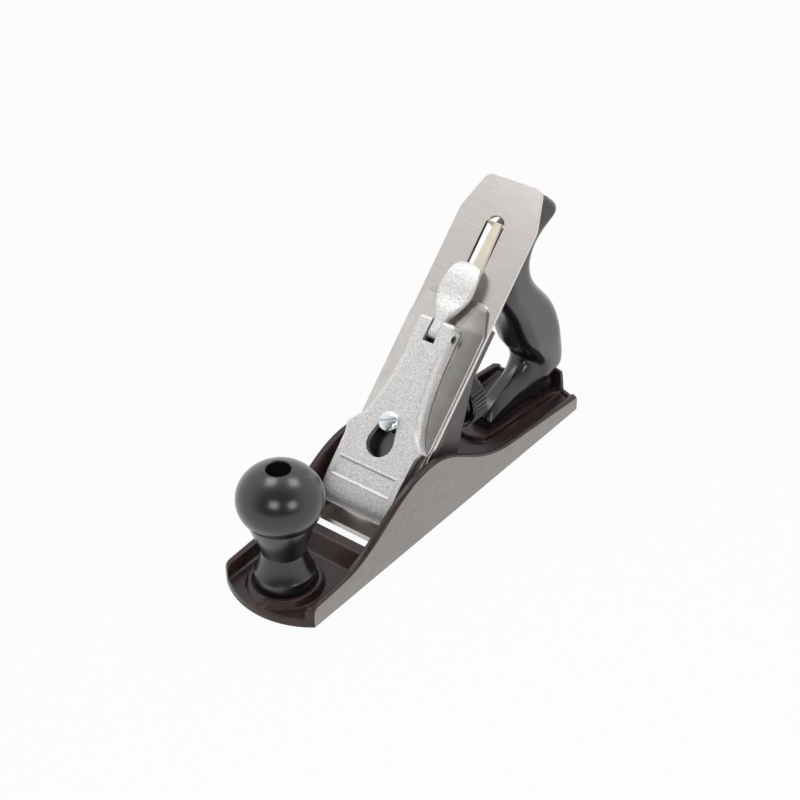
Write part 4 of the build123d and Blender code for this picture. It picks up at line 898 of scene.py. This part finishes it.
# Each lamp has the direction it stands in, its distance and its size in metres, and its watts.
LAMPS = {
    "top_lamp_far": ((-0.127, 0.323, 0.938), 1.0, 0.34, 1.5),
    "top_lamp_near": ((0.348, -0.238, 0.907), 1.0, 0.34, 1.5),
    "front_lamp_left": ((-0.788, -0.304, 0.536), 1.1, 0.34, 1.5),
    "front_lamp_right": ((-0.304, -0.831, 0.466), 1.1, 0.34, 1.5),
}
yaw, pitch, roll = radians(YAW), radians(PITCH), radians(ROLL)
ahead = Vector((sin(yaw) * cos(pitch), cos(yaw) * cos(pitch), -sin(pitch)))
right = Vector((cos(yaw), -sin(yaw), 0))
up = right.cross(ahead)
right, up = cos(roll) * right + sin(roll) * up, cos(roll) * up - sin(roll) * right
camera = bpy.data.objects.new("camera", bpy.data.cameras.new("camera"))
bpy.context.scene.collection.objects.link(camera)
camera.matrix_world = Matrix.Translation(Vector(CAMERA_AT) * MM) @ Matrix((right, up, -ahead)).transposed().to_4x4()
camera.data.sensor_width, camera.data.lens = 36.0, LENS
camera.data.clip_start, camera.data.clip_end = 0.01, 50.0
bpy.context.scene.camera = camera

target = Vector((0, 0, 0.04))
for name, (towards, far, size, power) in LAMPS.items():
    lamp = bpy.data.lights.new(name, "AREA")
    lamp.shape, lamp.size, lamp.energy = "SQUARE", size, power
    holder = bpy.data.objects.new(name, lamp)
    bpy.context.scene.collection.objects.link(holder)
    way = Vector(towards).normalized()
    holder.matrix_world = Matrix.Translation(target + way * far) @ way.to_track_quat("Z", "Y").to_matrix().to_4x4()

# White floor: it shows plain white to the camera and in the metal, and keeps a soft shadow.
paper = bpy.data.materials.new("white_paper_floor")
paper.use_nodes = True
tree = paper.node_tree
tree.nodes.clear()
ray = add(tree, "ShaderNodeLightPath").outputs
seen = add(tree, "ShaderNodeMath", {0: ray["Is Camera Ray"], 1: ray["Is Glossy Ray"]}, operation="MAXIMUM")
seen = add(tree, "ShaderNodeMath", {0: seen.outputs[0], 1: ray["Is Transmission Ray"]}, operation="MAXIMUM")
share = add(tree, "ShaderNodeMath", {0: seen.outputs[0], 1: 0.94}, operation="MULTIPLY")
matt = add(tree, "ShaderNodeBsdfDiffuse", {"Color": (0.9, 0.9, 0.9, 1.0)})
glow = add(tree, "ShaderNodeEmission", {"Color": (1.0, 1.0, 1.0, 1.0), "Strength": 1.0})
mixed = add(tree, "ShaderNodeMixShader", {0: share.outputs[0], 1: matt.outputs[0], 2: glow.outputs[0]})
add(tree, "ShaderNodeOutputMaterial", {"Surface": mixed.outputs[0]})
FLOOR = 6000.0
floor_points = [(-FLOOR, -FLOOR, -0.05), (FLOOR, -FLOOR, -0.05), (FLOOR, FLOOR, -0.05), (-FLOOR, FLOOR, -0.05)]
mesh_object("paper_floor", floor_points, [(0, 1, 2, 3)], [paper])

# White surround: in mirrors it dims on the side where the photographer stood,
# which shows the round of the black pieces.
DIM_SIDE = (-0.726, -0.498, 0.472)
world = bpy.data.worlds.new("white_studio")
bpy.context.scene.world = world
world.use_nodes = True
tree = world.node_tree
tree.nodes.clear()
ray = add(tree, "ShaderNodeLightPath").outputs
way = add(tree, "ShaderNodeTexCoord").outputs["Generated"]
facing = add(tree, "ShaderNodeVectorMath", {0: way, 1: DIM_SIDE}, operation="DOT_PRODUCT").outputs["Value"]
limits = {"Value": facing, "From Min": 0.2, "From Max": 0.9, "To Min": 1.0, "To Max": 0.18}
room = add(tree, "ShaderNodeMapRange", limits, interpolation_type="SMOOTHSTEP").outputs[0]
mirrored = add(tree, "ShaderNodeMath", {0: ray["Is Glossy Ray"], 1: ray["Is Transmission Ray"]}, operation="MAXIMUM")
around = add(tree, "ShaderNodeMapRange", {"Value": mirrored.outputs[0], "To Min": 0.3, "To Max": room})
strength = add(tree, "ShaderNodeMath", {0: around.outputs[0], 1: ray["Is Camera Ray"]}, operation="MAXIMUM")
light = add(tree, "ShaderNodeBackground", {"Color": (1.0, 1.0, 1.0, 1.0), "Strength": strength.outputs[0]})
add(tree, "ShaderNodeOutputWorld", {"Surface": light.outputs[0]})
bpy.context.scene.view_settings.view_transform = "Standard"
